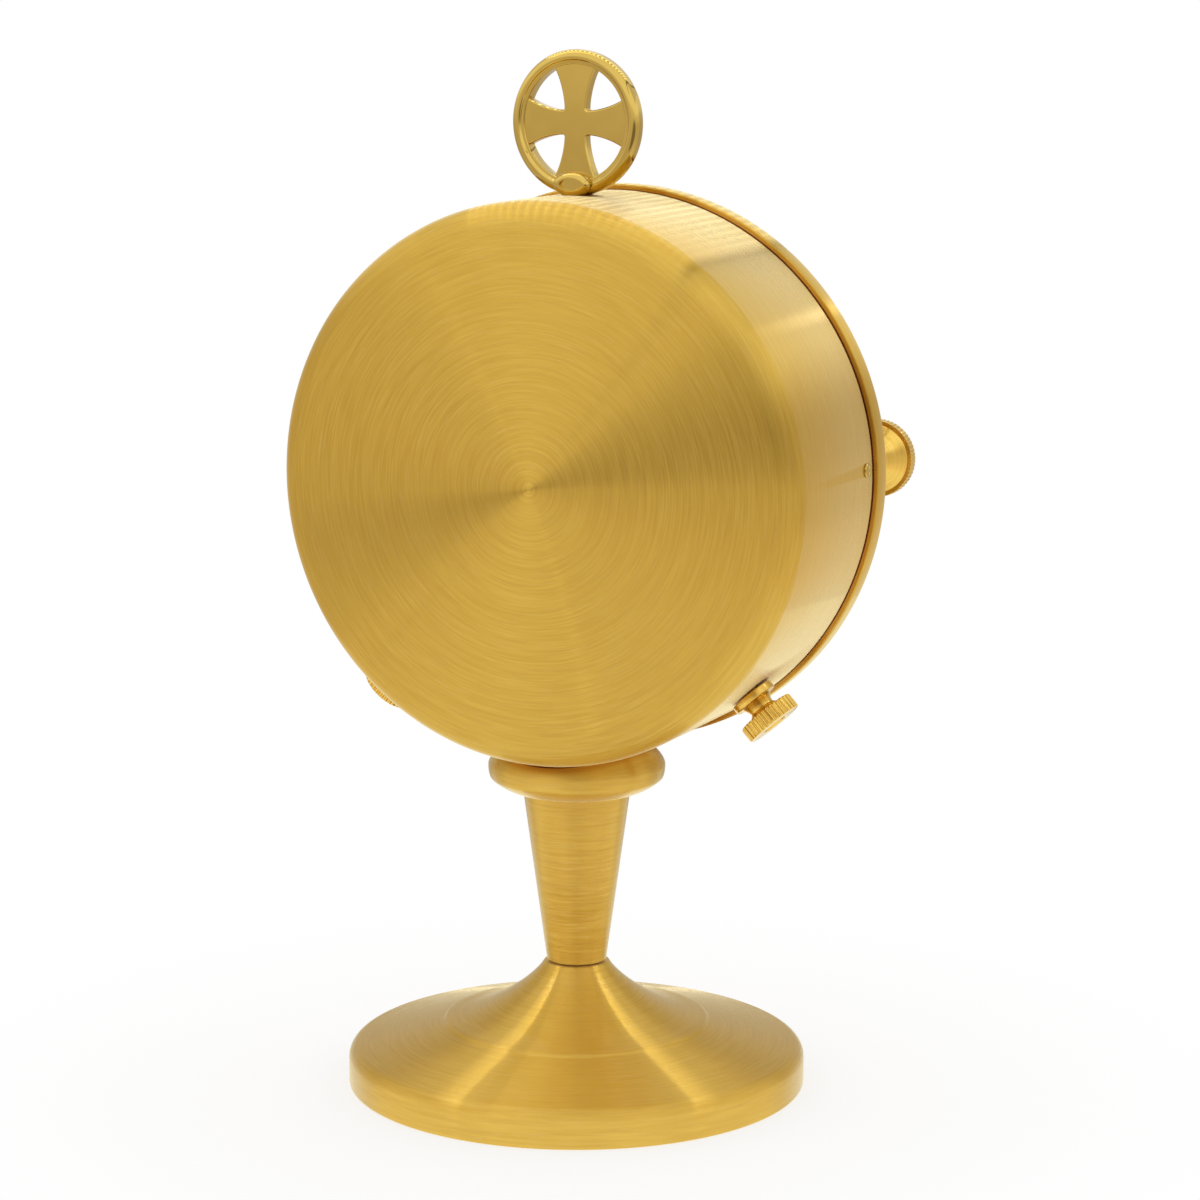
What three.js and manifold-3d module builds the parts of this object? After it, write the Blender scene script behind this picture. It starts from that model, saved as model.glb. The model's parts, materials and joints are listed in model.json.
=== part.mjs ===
// Luna holder: a round brass case on a turned stem and spun foot, with a hinged front door,
// a quarter-turn latch, two thumbscrews that clamp the luna and a cross finial on top.
// Millimetres, +Z up. The origin is the centre of the foot's underside, the door faces -Y,
// and left and right are those of someone who looks at the door.
import * as THREE from "three";
import { mergeVertices } from "three/addons/utils/BufferGeometryUtils.js";
import Module from "manifold-3d";

const wasm = await Module();
wasm.setup();

// Clearances
const seatGap = 0.3;        // between faces that rest on each other
const boreClearance = 0.15; // radial, round a shank in its hole

// Foot, a spun shell
const footRadius = 42.45;
const footHeight = 22.9;
const footWall = 1.2;
const footRimHeight = 7.0;
const footRimRound = 1.9;
const footBeadRadius = 24.3;   // a small raised step where the flare starts
const footBeadHeight = 11.95;
const footBeadStep = 0.4;
const footTopRadius = 6.0;
const footBandWidth = 1.7;     // the flat ring that it stands on

// Stem, a turned cone
const stemLength = 31.3;
const stemBottomRadius = 5.5;
const stemTopRadius = 9.85;
const stemEdgeRound = 0.5;

// Knop, the flattened bulb under the case
const knopRadius = 16.3;
const knopBaseRadius = 8.0;    // of the flat that stands on the stem
const knopTopRadius = 11.5;
const knopBellyHeight = 5.3;   // widest part above its base
const knopHeight = 11.2;       // before the case's saddle is cut out of it
const knopSeatHeight = 8.0;    // of the case's lowest line above its base

// Case drum
const drumRadius = 50.8;
const drumWall = 0.9;
const drumBackWall = 1.2;
const drumBack = 20.6;         // back face behind the stem's axis
const drumDepth = 37.65;
const drumEdgeRound = 4.7;

// Door, a shallow turned pan with a lip that enters the drum
const doorOverhang = 1.0;      // of its rim beyond the drum
const doorThickness = 4.85;
const doorPlate = 1.2;
const doorGap = 0.65;          // the dark line between drum and door
const doorEdgeRound = 1.3;
const lipClearance = 0.7;
const lipWall = 0.8;
const lipDepth = 2.6;

// Hinge, on the right side
const hingeLength = 16;
const hingeMiddle = 5.2;       // length of the door's knuckle
const hingeBarrelRadius = 1.4;
const hingePinRadius = 0.65;
const hingePinHeadRadius = 0.95;
const hingePinHeadLength = 0.6;
const hingeLeafThickness = 0.8;
const caseLeafLength = 8.4;
const doorLeafLength = 3.0;
const knuckleGap = 0.3;

// Quarter-turn latch, on the left side
const latchAngle = 2.4;        // degrees above the horizontal
const latchInset = 4.6;        // of the knob's axis from the drum's outside
const knobRadius = 7.2;
const knobDiscThickness = 2.3;
const knobStandoff = 8.4;      // back of the disc in front of the door
const knobNeckRadius = 2.5;
const knobFlangeRadius = 3.9;
const knobFlangeThickness = 1.4;
const knobFlutes = 60;
const spindleRadius = 1.2;
const bushRadius = 1.9;
const camSquare = 1.6;
const camThickness = 1.2;
const camHubRadius = 2.15;
const camTongueWidth = 2.6;
const latchNutFlats = 3.2;
const latchNutThickness = 1.3;
const latchStudRadius = 0.75;
const catchPinRadius = 0.9;
const catchPinHeadRadius = 1.3;
const catchPinHeadHeight = 0.45;
const catchPinDish = 0.2;      // depth of the hollow in its head
const catchPinInside = 1.0;    // of the pin inside the drum's wall
const catchPinSetback = 3.25;  // behind the drum's front edge

// Thumbscrews and the shoes on their inner ends
const screwAngle = 47.5;       // degrees below the horizontal
const screwRadius = 2.0;
const screwHeadRadius = 5.4;
const screwHeadLength = 2.9;
const screwFlutes = 36;
const screwNeckRadius = 2.35;
const screwNeckLength = 2.5;
const screwFlangeRadius = 4.2;
const screwFlangeThickness = 1.5;
const screwDishRadius = 2.4;
const screwDishDepth = 0.7;
const screwButtonRadius = 1.6;
const screwButtonLength = 0.7;
const screwTipRadius = 1.0;
const bossRadius = 3.6;
const bossLength = 3.2;
const shoeRadius = 4.0;
const shoeThickness = 4.6;
const grooveDepth = 1.6;       // of the V that takes the luna's rim
const grooveWidth = 4.6;
const clampTravel = 6.08;      // of a shoe, from the smallest luna to the largest
const shoeStop = 0.4;          // left between shoe and boss at the end of that travel

// Tie bolt through knop, stem and foot
const boltRadius = 2.5;
const boltHeadRadius = 4.3;
const boltHeadHeight = 2.6;
const boltSlotWidth = 1.0;
const boltSlotDepth = 1.2;
const saddleRadius = 7.0;
const saddleThickness = 1.2;
const footWasherRadius = 4.6;
const footWasherThickness = 1.0;
const footNutFlats = 8;
const footNutThickness = 4;
const boltEnd = 2.0;           // of thread beyond the nut

// Finial, a cast ring with a cross pattee
const finialRadius = 12.96;
const finialInnerRadius = 10.35;
const finialThickness = 3.17;
const finialLedgeThickness = 2.5;
const finialLedgeWidth = 0.55;
const finialRise = 12.9;       // of the ring's centre above the drum
const finialTurn = -4.95;      // degrees about the vertical
const crossThickness = 2.1;
const crossWaist = 2.2;        // half width of an arm at the centre
const crossSpread = 5.0;       // half width of an arm at the ring
const baseWidth = 7.6;
const baseHeight = 3.9;
const baseLength = 7.4;
const basePanelDepth = 0.5;
const basePanelSide = 1.3;     // rim left beside the panel
const basePanelEdge = 1.0;     // rim left above and below it
const studRadius = 1.5;
const finialNutFlats = 5.5;
const finialNutThickness = 2.4;
const restThickness = 5.5;
const restSocketDepth = 2.7;

// Facets round a full turn
const largeFacets = 64;
const footFacets = 48;
const mediumFacets = 32;
const smallFacets = 18;
const pinFacets = 12;
const arcSteps = 3;

// Places that follow from the sizes
const footCeiling = footHeight - 1.4 * footWall;
const stemBase = footHeight + seatGap;
const knopBase = stemBase + stemLength + seatGap;
const drumBottom = knopBase + knopSeatHeight + seatGap;
const drumCentre = drumBottom + drumRadius;
const drumTop = drumCentre + drumRadius;
const drumInner = drumRadius - drumWall;
const drumFront = drumBack - drumDepth;
const doorRadius = drumRadius + doorOverhang;
const doorBack = drumFront - doorGap;
const doorFront = doorBack - doorThickness;
const doorInside = doorFront + doorPlate;
const lipOuter = drumInner - lipClearance;
const lipInner = lipOuter - lipWall;
const latchRadius = drumRadius - latchInset;
const camReach = drumInner - seatGap - latchRadius;
const hingeX = doorRadius + 0.8 * seatGap + hingeBarrelRadius;
const hingeY = doorBack + seatGap;
const bossInner = drumInner - seatGap - bossLength;
const finialNutInner = drumInner - seatGap - finialNutThickness;
const restOuter = finialNutInner - seatGap;
const restSocket = restOuter - restSocketDepth;

const satinGold = new THREE.MeshStandardMaterial({ color: 0xd4af50, roughness: 0.36, metalness: 1 });
const turnedGold = new THREE.MeshStandardMaterial({ color: 0xd0a443, roughness: 0.24, metalness: 1 });
const polishedGold = new THREE.MeshStandardMaterial({ color: 0xd9ae48, roughness: 0.1, metalness: 1 });

const degrees = THREE.MathUtils.degToRad;

// Points of an arc, in degrees, in the plane of a profile
function arc(x, y, radius, from, to, steps = arcSteps) {
  const points = [];
  for (let i = 0; i <= steps; i++) {
    const angle = degrees(from + ((to - from) * i) / steps);
    points.push([x + radius * Math.cos(angle), y + radius * Math.sin(angle)]);
  }
  return points;
}

// A profile of [radius, height] points turned about Y; it runs anticlockwise
function turned(profile, facets = smallFacets) {
  return new THREE.LatheGeometry(
    profile.map(([radius, height]) => new THREE.Vector2(radius, height)),
    facets,
  );
}

// The same about Z, and about X
function turnedUpright(profile, facets) {
  return turned(profile, facets).rotateX(Math.PI / 2);
}

function turnedOutward(profile, facets) {
  return turned(profile, facets).rotateZ(-Math.PI / 2);
}

function ringProfile(inner, outer, low, high) {
  return [[inner, low], [outer, low], [outer, high], [inner, high], [inner, low]];
}

function rodProfile(radius, low, high) {
  return [[0, low], [radius, low], [radius, high], [0, high]];
}

function polygon(points) {
  return new THREE.Shape(points.map(([x, y]) => new THREE.Vector2(x, y)));
}

// A shape in X and Y, made solid from one height to another
function plate(shape, low, high, curveSegments = arcSteps) {
  const depth = high - low;
  return new THREE.ExtrudeGeometry(shape, { depth, bevelEnabled: false, curveSegments })
    .translate(0, 0, low);
}

// A shape in X and Z, made solid from one Y to another
function plateAcross(shape, low, high, curveSegments) {
  return plate(shape, -high, -low, curveSegments).rotateX(Math.PI / 2);
}

function hexagon(flats) {
  const corner = flats / Math.sqrt(3);
  return polygon(arc(0, 0, corner, 0, 300, 5));
}

// An outline with straight flutes, for a knurled edge
function flutedShape(radius, depth, count) {
  const points = [];
  for (let i = 0; i < count; i++) {
    const crest = (2 * Math.PI * i) / count;
    const root = crest + Math.PI / count;
    points.push([radius * Math.cos(crest), radius * Math.sin(crest)]);
    points.push([(radius - depth) * Math.cos(root), (radius - depth) * Math.sin(root)]);
  }
  return polygon(points);
}

function solidOf(geometry) {
  const bare = geometry.clone();
  bare.deleteAttribute("normal");
  bare.deleteAttribute("uv");
  const merged = mergeVertices(bare, 1e-4);
  const corners = merged.index.array;
  const kept = [];
  for (let i = 0; i < corners.length; i += 3) {
    const [a, b, c] = corners.slice(i, i + 3);
    if (a !== b && b !== c && c !== a) kept.push(a, b, c);
  }
  return new wasm.Manifold(new wasm.Mesh({
    numProp: 3,
    vertProperties: merged.attributes.position.array,
    triVerts: new Uint32Array(kept),
  }));
}

function geometryOf(solid) {
  const mesh = solid.getMesh();
  const geometry = new THREE.BufferGeometry();
  geometry.setAttribute("position", new THREE.BufferAttribute(mesh.vertProperties, 3));
  geometry.setIndex(new THREE.BufferAttribute(mesh.triVerts, 1));
  const faceted = geometry.toNonIndexed();
  faceted.computeVertexNormals();
  return faceted;
}

function join(...pieces) {
  return geometryOf(pieces.map(solidOf).reduce((whole, piece) => whole.add(piece)));
}

function cut(body, ...tools) {
  return geometryOf(tools.map(solidOf).reduce((rest, tool) => rest.subtract(tool), solidOf(body)));
}

function common(body, tool) {
  return geometryOf(solidOf(body).intersect(solidOf(tool)));
}

function piece(name, geometry, material) {
  const mesh = new THREE.Mesh(geometry, material);
  mesh.name = name;
  return mesh;
}

// A group whose X axis points out from the drum's axis, this many degrees below +X
function radialGroup(angleBelow) {
  const group = new THREE.Group();
  group.position.z = drumCentre;
  group.rotation.y = degrees(angleBelow);
  return group;
}

// Moves each point of an open outline inwards, square to its neighbours
function inset(outline, distance) {
  return outline.map(([x, y], i) => {
    const before = outline[Math.max(i - 1, 0)];
    const after = outline[Math.min(i + 1, outline.length - 1)];
    const length = Math.hypot(after[0] - before[0], after[1] - before[1]);
    return [
      x - (distance * (after[1] - before[1])) / length,
      y + (distance * (after[0] - before[0])) / length,
    ];
  });
}

function curvePoints(curve, steps) {
  return curve.getPoints(steps).map(({ x, y }) => [x, y]);
}

function footOutline() {
  const slopeStart = footRadius - 0.75 * footRimRound;
  const brow = new THREE.QuadraticBezierCurve(
    new THREE.Vector2(slopeStart, footRimHeight),
    new THREE.Vector2(
      (slopeStart + footBeadRadius) / 2,
      (footRimHeight + footBeadHeight - footBeadStep) / 2 + 0.35,
    ),
    new THREE.Vector2(footBeadRadius + footBeadStep, footBeadHeight - footBeadStep),
  );
  const flareTop = footHeight - 0.6;
  const flare = new THREE.QuadraticBezierCurve(
    new THREE.Vector2(footBeadRadius, footBeadHeight),
    new THREE.Vector2(
      THREE.MathUtils.lerp(footTopRadius, footBeadRadius, 0.39),
      THREE.MathUtils.lerp(footBeadHeight, flareTop, 0.28),
    ),
    new THREE.Vector2(footTopRadius + 0.5, flareTop),
  );
  return [
    [footRadius - 0.35, 0],
    [footRadius, 0.35],
    ...arc(footRadius - footRimRound, footRimHeight - 0.3 - footRimRound, footRimRound, 0, 72),
    ...curvePoints(brow, 2),
    ...curvePoints(flare, 6),
    [footTopRadius, footHeight],
  ];
}

function foot() {
  const outer = footOutline();
  const ceilingRadius = footWasherRadius + seatGap;
  const inner = inset(outer, footWall).filter(
    ([radius, height], i) => i % 2 === 0 && radius > ceilingRadius + 0.8 && height > footRimRound,
  );
  const bore = boltRadius + boreClearance;
  const band = footRadius - footBandWidth;
  const profile = [
    [band, 0],
    ...outer,
    [bore, footHeight],
    [bore, footCeiling],
    [ceilingRadius, footCeiling],
    ...inner.filter(([radius]) => radius < band - 0.5).reverse(),
    [band, footRimHeight - footWall - footRimRound],
    [band, 0],
  ];
  return turnedUpright(profile, footFacets);
}

function stem() {
  const bore = boltRadius + boreClearance;
  const profile = [
    [bore, 0],
    [stemBottomRadius - stemEdgeRound, 0],
    [stemBottomRadius, stemEdgeRound],
    [stemTopRadius, stemLength - stemEdgeRound],
    [stemTopRadius - stemEdgeRound, stemLength],
    [bore, stemLength],
    [bore, 0],
  ];
  return turnedUpright(profile, mediumFacets);
}

function knop() {
  const bore = boltRadius + boreClearance;
  const lower = new THREE.CubicBezierCurve(
    new THREE.Vector2(knopBaseRadius, 0),
    new THREE.Vector2(THREE.MathUtils.lerp(knopBaseRadius, knopRadius, 0.6), 0.19 * knopBellyHeight),
    new THREE.Vector2(knopRadius, 0.38 * knopBellyHeight),
    new THREE.Vector2(knopRadius, knopBellyHeight),
  );
  const upper = new THREE.EllipseCurve(
    knopTopRadius, knopBellyHeight,
    knopRadius - knopTopRadius, knopHeight - knopBellyHeight,
    0, Math.PI / 2,
  );
  const profile = [
    [bore, 0],
    ...curvePoints(lower, 6),
    ...curvePoints(upper, 5).slice(1),
    [bore, knopHeight],
    [bore, 0],
  ];
  const saddle = turned(rodProfile(drumRadius + seatGap, -2 * knopRadius, 2 * knopRadius), largeFacets)
    .translate(0, 0, drumCentre - knopBase);
  return cut(turnedUpright(profile, mediumFacets), saddle);
}

function tieBolt() {
  const seat = drumCentre - drumInner + saddleThickness + 2 * seatGap;
  const nutTop = footCeiling - footWasherThickness - 2 * seatGap;
  const end = nutTop - footNutThickness - boltEnd;
  const bolt = turnedUpright([
    [0, end],
    [boltRadius - 0.4, end],
    [boltRadius, end + 0.4],
    [boltRadius, seat],
    [boltHeadRadius, seat],
    [boltHeadRadius, seat + boltHeadHeight - 0.5],
    [boltHeadRadius - 0.5, seat + boltHeadHeight],
    [0, seat + boltHeadHeight],
  ]);
  const slot = new THREE.BoxGeometry(3 * boltHeadRadius, boltSlotWidth, 2 * boltSlotDepth)
    .translate(0, 0, seat + boltHeadHeight);
  return cut(bolt, slot);
}

// The washer under the bolt's head, curved to the drum's wall; in the drum's own frame
function saddleWasher() {
  const outer = drumInner - seatGap;
  const shell = turned(
    ringProfile(outer - saddleThickness, outer, -1.5 * saddleRadius, 1.5 * saddleRadius),
    largeFacets,
  );
  const disc = turnedUpright(
    ringProfile(boltRadius + boreClearance, saddleRadius, -drumRadius, -0.8 * drumRadius),
    mediumFacets,
  );
  return common(shell, disc);
}

function nut(flats, thickness, bore) {
  const hole = turnedUpright(rodProfile(bore, -1, thickness + 1));
  return cut(plate(hexagon(flats), 0, thickness), hole);
}

function buildStand() {
  const group = new THREE.Group();
  const footMesh = piece("foot", foot(), satinGold);
  const stemMesh = piece("stem", stem(), satinGold);
  const knopMesh = piece("knop", knop(), satinGold);
  stemMesh.position.z = stemBase;
  knopMesh.position.z = knopBase;
  const bore = boltRadius + boreClearance;
  const washer = piece(
    "foot_washer",
    turnedUpright(ringProfile(bore, footWasherRadius, 0, footWasherThickness)),
    turnedGold,
  );
  washer.position.z = footCeiling - seatGap - footWasherThickness;
  const footNut = piece("foot_nut", nut(footNutFlats, footNutThickness, bore), turnedGold);
  footNut.position.z = washer.position.z - seatGap - footNutThickness;
  group.add(footMesh, stemMesh, knopMesh, washer, footNut, piece("tie_bolt", tieBolt(), turnedGold));
  return group;
}

function drum() {
  const innerRound = drumEdgeRound - drumWall;
  const inside = drumBack - drumBackWall;
  const shell = turned([
    [0, inside],
    ...arc(drumInner - innerRound, inside - innerRound, innerRound, 90, 0),
    [drumInner, drumFront],
    [drumRadius, drumFront],
    ...arc(drumRadius - drumEdgeRound, drumBack - drumEdgeRound, drumEdgeRound, 0, 90, 5),
    [0, drumBack],
  ], largeFacets);
  const hole = (radius, angleBelow, y = 0) =>
    turnedOutward(rodProfile(radius + boreClearance, drumInner - 3, drumRadius + 3))
      .rotateY(degrees(angleBelow))
      .translate(0, y, 0);
  return cut(
    shell,
    hole(boltRadius, 90),
    hole(studRadius, -90),
    hole(screwRadius, screwAngle),
    hole(screwRadius, 180 - screwAngle),
    hole(catchPinRadius, 180 + latchAngle, drumFront + catchPinSetback),
  );
}

function catchPin() {
  const seat = drumRadius + 0.1;
  return turnedOutward([
    [0, drumInner - catchPinInside],
    [catchPinRadius, drumInner - catchPinInside],
    [catchPinRadius, seat],
    [catchPinHeadRadius, seat],
    [catchPinHeadRadius, seat + 0.5 * catchPinHeadHeight],
    [0.8 * catchPinHeadRadius, seat + catchPinHeadHeight],
    [0.5 * catchPinHeadRadius, seat + catchPinHeadHeight - catchPinDish],
    [0, seat + catchPinHeadHeight - catchPinDish],
  ], pinFacets).translate(0, drumFront + catchPinSetback, 0);
}

function crossShape() {
  const end = Math.sqrt((finialInnerRadius + 1.1) ** 2 - (crossSpread + 0.4) ** 2);
  const shape = new THREE.Shape();
  shape.moveTo(crossWaist, crossWaist);
  for (let i = 0; i < 4; i++) {
    const turn = ([x, y]) => {
      const angle = (i * Math.PI) / 2;
      const [c, s] = [Math.cos(angle), Math.sin(angle)];
      return [x * c - y * s, x * s + y * c];
    };
    const bend = [1.12 * crossWaist, 0.6 * finialInnerRadius];
    shape.quadraticCurveTo(...turn(bend), ...turn([crossSpread, end]));
    shape.lineTo(...turn([-crossSpread, end]));
    shape.quadraticCurveTo(...turn([-bend[0], bend[1]]), ...turn([-crossWaist, crossWaist]));
  }
  return shape;
}

function archShape(width, height, low) {
  const shape = new THREE.Shape();
  shape.moveTo(width / 2, low);
  shape.absellipse(0, low, width / 2, height, 0, Math.PI, false);
  shape.lineTo(-width / 2, low);
  return shape;
}

// Ring, cross, base and stud in one casting, with the ring's centre at the origin
function finial() {
  const half = finialThickness / 2;
  const ledge = finialLedgeThickness / 2;
  const ledgeEdge = finialInnerRadius + finialLedgeWidth;
  const ring = turned([
    [finialInnerRadius, -ledge],
    [ledgeEdge, -ledge],
    [ledgeEdge + 0.15, -half],
    [finialRadius - 0.7, -half],
    [finialRadius, -0.4 * half],
    [finialRadius, 0.4 * half],
    [finialRadius - 0.7, half],
    [ledgeEdge + 0.15, half],
    [ledgeEdge, ledge],
    [finialInnerRadius, ledge],
    [finialInnerRadius, -ledge],
  ], mediumFacets);
  const cross = plateAcross(crossShape(), -crossThickness / 2, crossThickness / 2, 5);
  const low = -finialRise - 1;
  const base = plateAcross(
    archShape(baseWidth, baseHeight + 1, low), -baseLength / 2, baseLength / 2, 12,
  );
  const panel = archShape(
    baseWidth - 2 * basePanelSide, baseHeight - 2 * basePanelEdge, -finialRise + basePanelEdge,
  );
  const face = baseLength / 2 - basePanelDepth;
  const stud = turnedUpright(rodProfile(
    studRadius, restSocket + seatGap - drumRadius - finialRise, low + 2,
  ));
  const underside = turned(rodProfile(drumRadius + seatGap, -baseLength, baseLength), largeFacets)
    .translate(0, 0, -finialRise - drumRadius);
  const casting = cut(
    join(ring, cross, base),
    plateAcross(panel, face, baseLength, 8),
    plateAcross(panel, -baseLength, -face, 8),
    underside,
  );
  return join(casting, stud);
}

// A V-groove along Z, open towards the drum's axis, with its bottom at this radius
function groove(bottom) {
  const mouth = bottom - 1.5 * grooveDepth;
  const halfWidth = (1.5 * grooveWidth) / 2;
  const wedge = polygon([[bottom, 0], [mouth, halfWidth], [mouth, -halfWidth]]);
  return plate(wedge, -2 * shoeRadius, 2 * shoeRadius);
}

function topRest() {
  const inner = restOuter - restThickness;
  const bore = studRadius + boreClearance;
  const body = turnedOutward([
    [0, inner],
    [shoeRadius, inner],
    [shoeRadius, restOuter - 0.5],
    [shoeRadius - 0.5, restOuter],
    [bore, restOuter],
    [bore, restSocket],
    [0, restSocket],
  ]);
  return cut(body, groove(inner + grooveDepth));
}

function buildFinial() {
  const group = new THREE.Group();
  group.position.z = drumTop + finialRise;
  group.rotation.z = degrees(finialTurn);
  group.add(piece("finial", finial(), polishedGold));
  return group;
}

function buildTopHolder() {
  const group = radialGroup(-90);
  const finialNut = nut(finialNutFlats, finialNutThickness, studRadius + boreClearance)
    .rotateY(Math.PI / 2)
    .translate(finialNutInner, 0, 0);
  group.add(piece("top_rest", topRest(), turnedGold), piece("finial_nut", finialNut, turnedGold));
  return group;
}

// The shoe as it stands when its screw is right in, which suits the smallest luna
const shoeOuter = bossInner - shoeStop - clampTravel;
const shoeInner = shoeOuter - shoeThickness;
const buttonInner = shoeOuter - 0.9 - seatGap - screwButtonLength;

function shoe() {
  const socketRadius = screwButtonRadius + seatGap;
  const mouthRadius = screwTipRadius + seatGap;
  const socketOuter = buttonInner + screwButtonLength + seatGap;
  const body = turnedOutward([
    [0, shoeInner],
    [shoeRadius, shoeInner],
    [shoeRadius, shoeOuter - 0.5],
    [shoeRadius - 0.5, shoeOuter],
    [mouthRadius, shoeOuter],
    [mouthRadius, socketOuter],
    [socketRadius, socketOuter],
    [socketRadius, buttonInner - seatGap],
    [0, buttonInner - seatGap],
  ]);
  return cut(body, groove(shoeInner + grooveDepth));
}

function thumbscrew() {
  const buttonOuter = buttonInner + screwButtonLength;
  const flange = drumRadius + seatGap;
  const neck = flange + screwFlangeThickness;
  const head = neck + screwNeckLength;
  const end = head + screwHeadLength;
  const shank = turnedOutward([
    [0, buttonInner],
    [screwButtonRadius, buttonInner],
    [screwButtonRadius, buttonOuter],
    [screwTipRadius, buttonOuter],
    [screwTipRadius, shoeOuter + seatGap],
    [screwRadius - 0.3, shoeOuter + seatGap],
    [screwRadius, shoeOuter + seatGap + 0.3],
    [screwRadius, flange],
    [screwFlangeRadius - 0.3, flange],
    [screwFlangeRadius, flange + 0.3],
    [screwFlangeRadius, neck],
    [screwNeckRadius + 0.9, neck],
    [screwNeckRadius, neck + 0.35 * screwNeckLength],
    [screwNeckRadius, neck + 0.65 * screwNeckLength],
    [screwNeckRadius + 0.9, head + 0.2],
    [0, head + 0.2],
  ]);
  const blank = turnedOutward([
    [0, head],
    [screwHeadRadius - 0.5, head],
    [screwHeadRadius + 0.02, head + 0.5],
    [screwHeadRadius + 0.02, end - 0.5],
    [screwHeadRadius - 0.5, end],
    [screwDishRadius, end],
    [0.8 * screwDishRadius, end - 0.6 * screwDishDepth],
    [0, end - screwDishDepth],
  ], screwFlutes / 2);
  const flutes = plate(flutedShape(screwHeadRadius, 0.32, screwFlutes), head - 1, end + 1)
    .rotateY(Math.PI / 2);
  return join(shank, common(blank, flutes));
}

// The threaded boss inside the wall, its outer end curved to the drum
function screwBoss() {
  const body = turnedOutward(ringProfile(
    screwRadius + boreClearance, bossRadius, bossInner, drumRadius,
  ));
  const bowl = turned(
    rodProfile(drumInner - seatGap, -2 * bossRadius, 2 * bossRadius), largeFacets,
  );
  return common(body, bowl);
}

function buildScrew(side, angleBelow) {
  const group = radialGroup(angleBelow);
  group.add(
    piece(side + "_screw_boss", screwBoss(), turnedGold),
    piece(side + "_shoe", shoe(), turnedGold),
    piece(side + "_thumbscrew", thumbscrew(), turnedGold),
  );
  return group;
}

// A curved leaf that lies on a round wall, centred on +X
function leaf(innerRadius, low, high) {
  const spread = (Math.asin(hingeLength / 2 / innerRadius) * 180) / Math.PI;
  const outerRadius = innerRadius + hingeLeafThickness;
  return plateAcross(
    polygon([
      ...arc(0, 0, innerRadius, spread, -spread, 8),
      ...arc(0, 0, outerRadius, -spread, spread, 8),
    ]),
    low,
    high,
  );
}

function knuckle(low, high) {
  const profile = ringProfile(hingePinRadius + boreClearance, hingeBarrelRadius, low, high);
  return turnedUpright(profile, pinFacets).translate(hingeX, hingeY, 0);
}

const leafRadiusOnDrum = drumRadius + seatGap;
const leafRadiusOnDoor = doorRadius + seatGap;
const outerKnuckleStart = hingeMiddle / 2 + knuckleGap;

function caseHingeLeaf() {
  const front = hingeY + hingeBarrelRadius + 0.4;
  const flat = leafRadiusOnDrum + 0.2;
  const back = leaf(leafRadiusOnDrum, front, front + caseLeafLength);
  const web = polygon([
    [flat, front + 2.4],
    [flat, front - 0.1],
    [hingeX - 0.55 * hingeBarrelRadius, hingeY + 0.6 * hingeBarrelRadius],
    [hingeX, hingeY + 0.75 * hingeBarrelRadius],
  ]);
  const [near, far] = [outerKnuckleStart, hingeLength / 2];
  return join(
    back,
    knuckle(near, far),
    plate(web, near, far),
    knuckle(-far, -near),
    plate(web, -far, -near),
  );
}

function doorHingeLeaf() {
  const back = hingeY - hingeBarrelRadius - 0.4;
  const flat = leafRadiusOnDoor + 0.1;
  const front = leaf(leafRadiusOnDoor, back - doorLeafLength, back);
  const web = polygon([
    [flat, back - 1.6],
    [hingeX, hingeY - 0.75 * hingeBarrelRadius],
    [hingeX - 0.55 * hingeBarrelRadius, hingeY - 0.6 * hingeBarrelRadius],
    [flat, back + 0.1],
  ]);
  const half = hingeMiddle / 2;
  return join(front, knuckle(-half, half), plate(web, -half, half));
}

function hingePin() {
  const half = hingeLength / 2 + seatGap;
  return turnedUpright([
    [0, -half - hingePinHeadLength],
    [hingePinHeadRadius - 0.2, -half - hingePinHeadLength],
    [hingePinHeadRadius, -half - 0.5 * hingePinHeadLength],
    [hingePinHeadRadius, -half],
    [hingePinRadius, -half],
    [hingePinRadius, half],
    [hingePinHeadRadius, half],
    [hingePinHeadRadius, half + 0.5 * hingePinHeadLength],
    [hingePinHeadRadius - 0.2, half + hingePinHeadLength],
    [0, half + hingePinHeadLength],
  ], pinFacets).translate(hingeX, hingeY, 0);
}

function door() {
  const lipEnd = doorBack + lipDepth;
  const pan = turned([
    [0, doorFront],
    ...arc(doorRadius - doorEdgeRound, doorFront + doorEdgeRound, doorEdgeRound, -90, 0),
    [doorRadius, doorBack - 0.3],
    [doorRadius - 0.3, doorBack],
    [lipOuter, doorBack],
    [lipOuter, lipEnd],
    [lipInner, lipEnd],
    [lipInner, doorInside + 0.8],
    [lipInner - 0.8, doorInside],
    [0, doorInside],
  ], largeFacets);
  const hole = turned(rodProfile(bushRadius + boreClearance, doorFront - 1, doorBack))
    .translate(latchRadius, 0, 0)
    .rotateY(degrees(180 + latchAngle));
  return cut(pan, hole);
}

// The latch, in a radial frame; the cam's tongue points along Z when the door is free to open
const pinBack = drumFront + catchPinSetback + catchPinRadius;
const camFront = pinBack + 0.4;
const camBack = camFront + camThickness;
const latchNutBack = camBack + seatGap + latchNutThickness;

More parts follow.
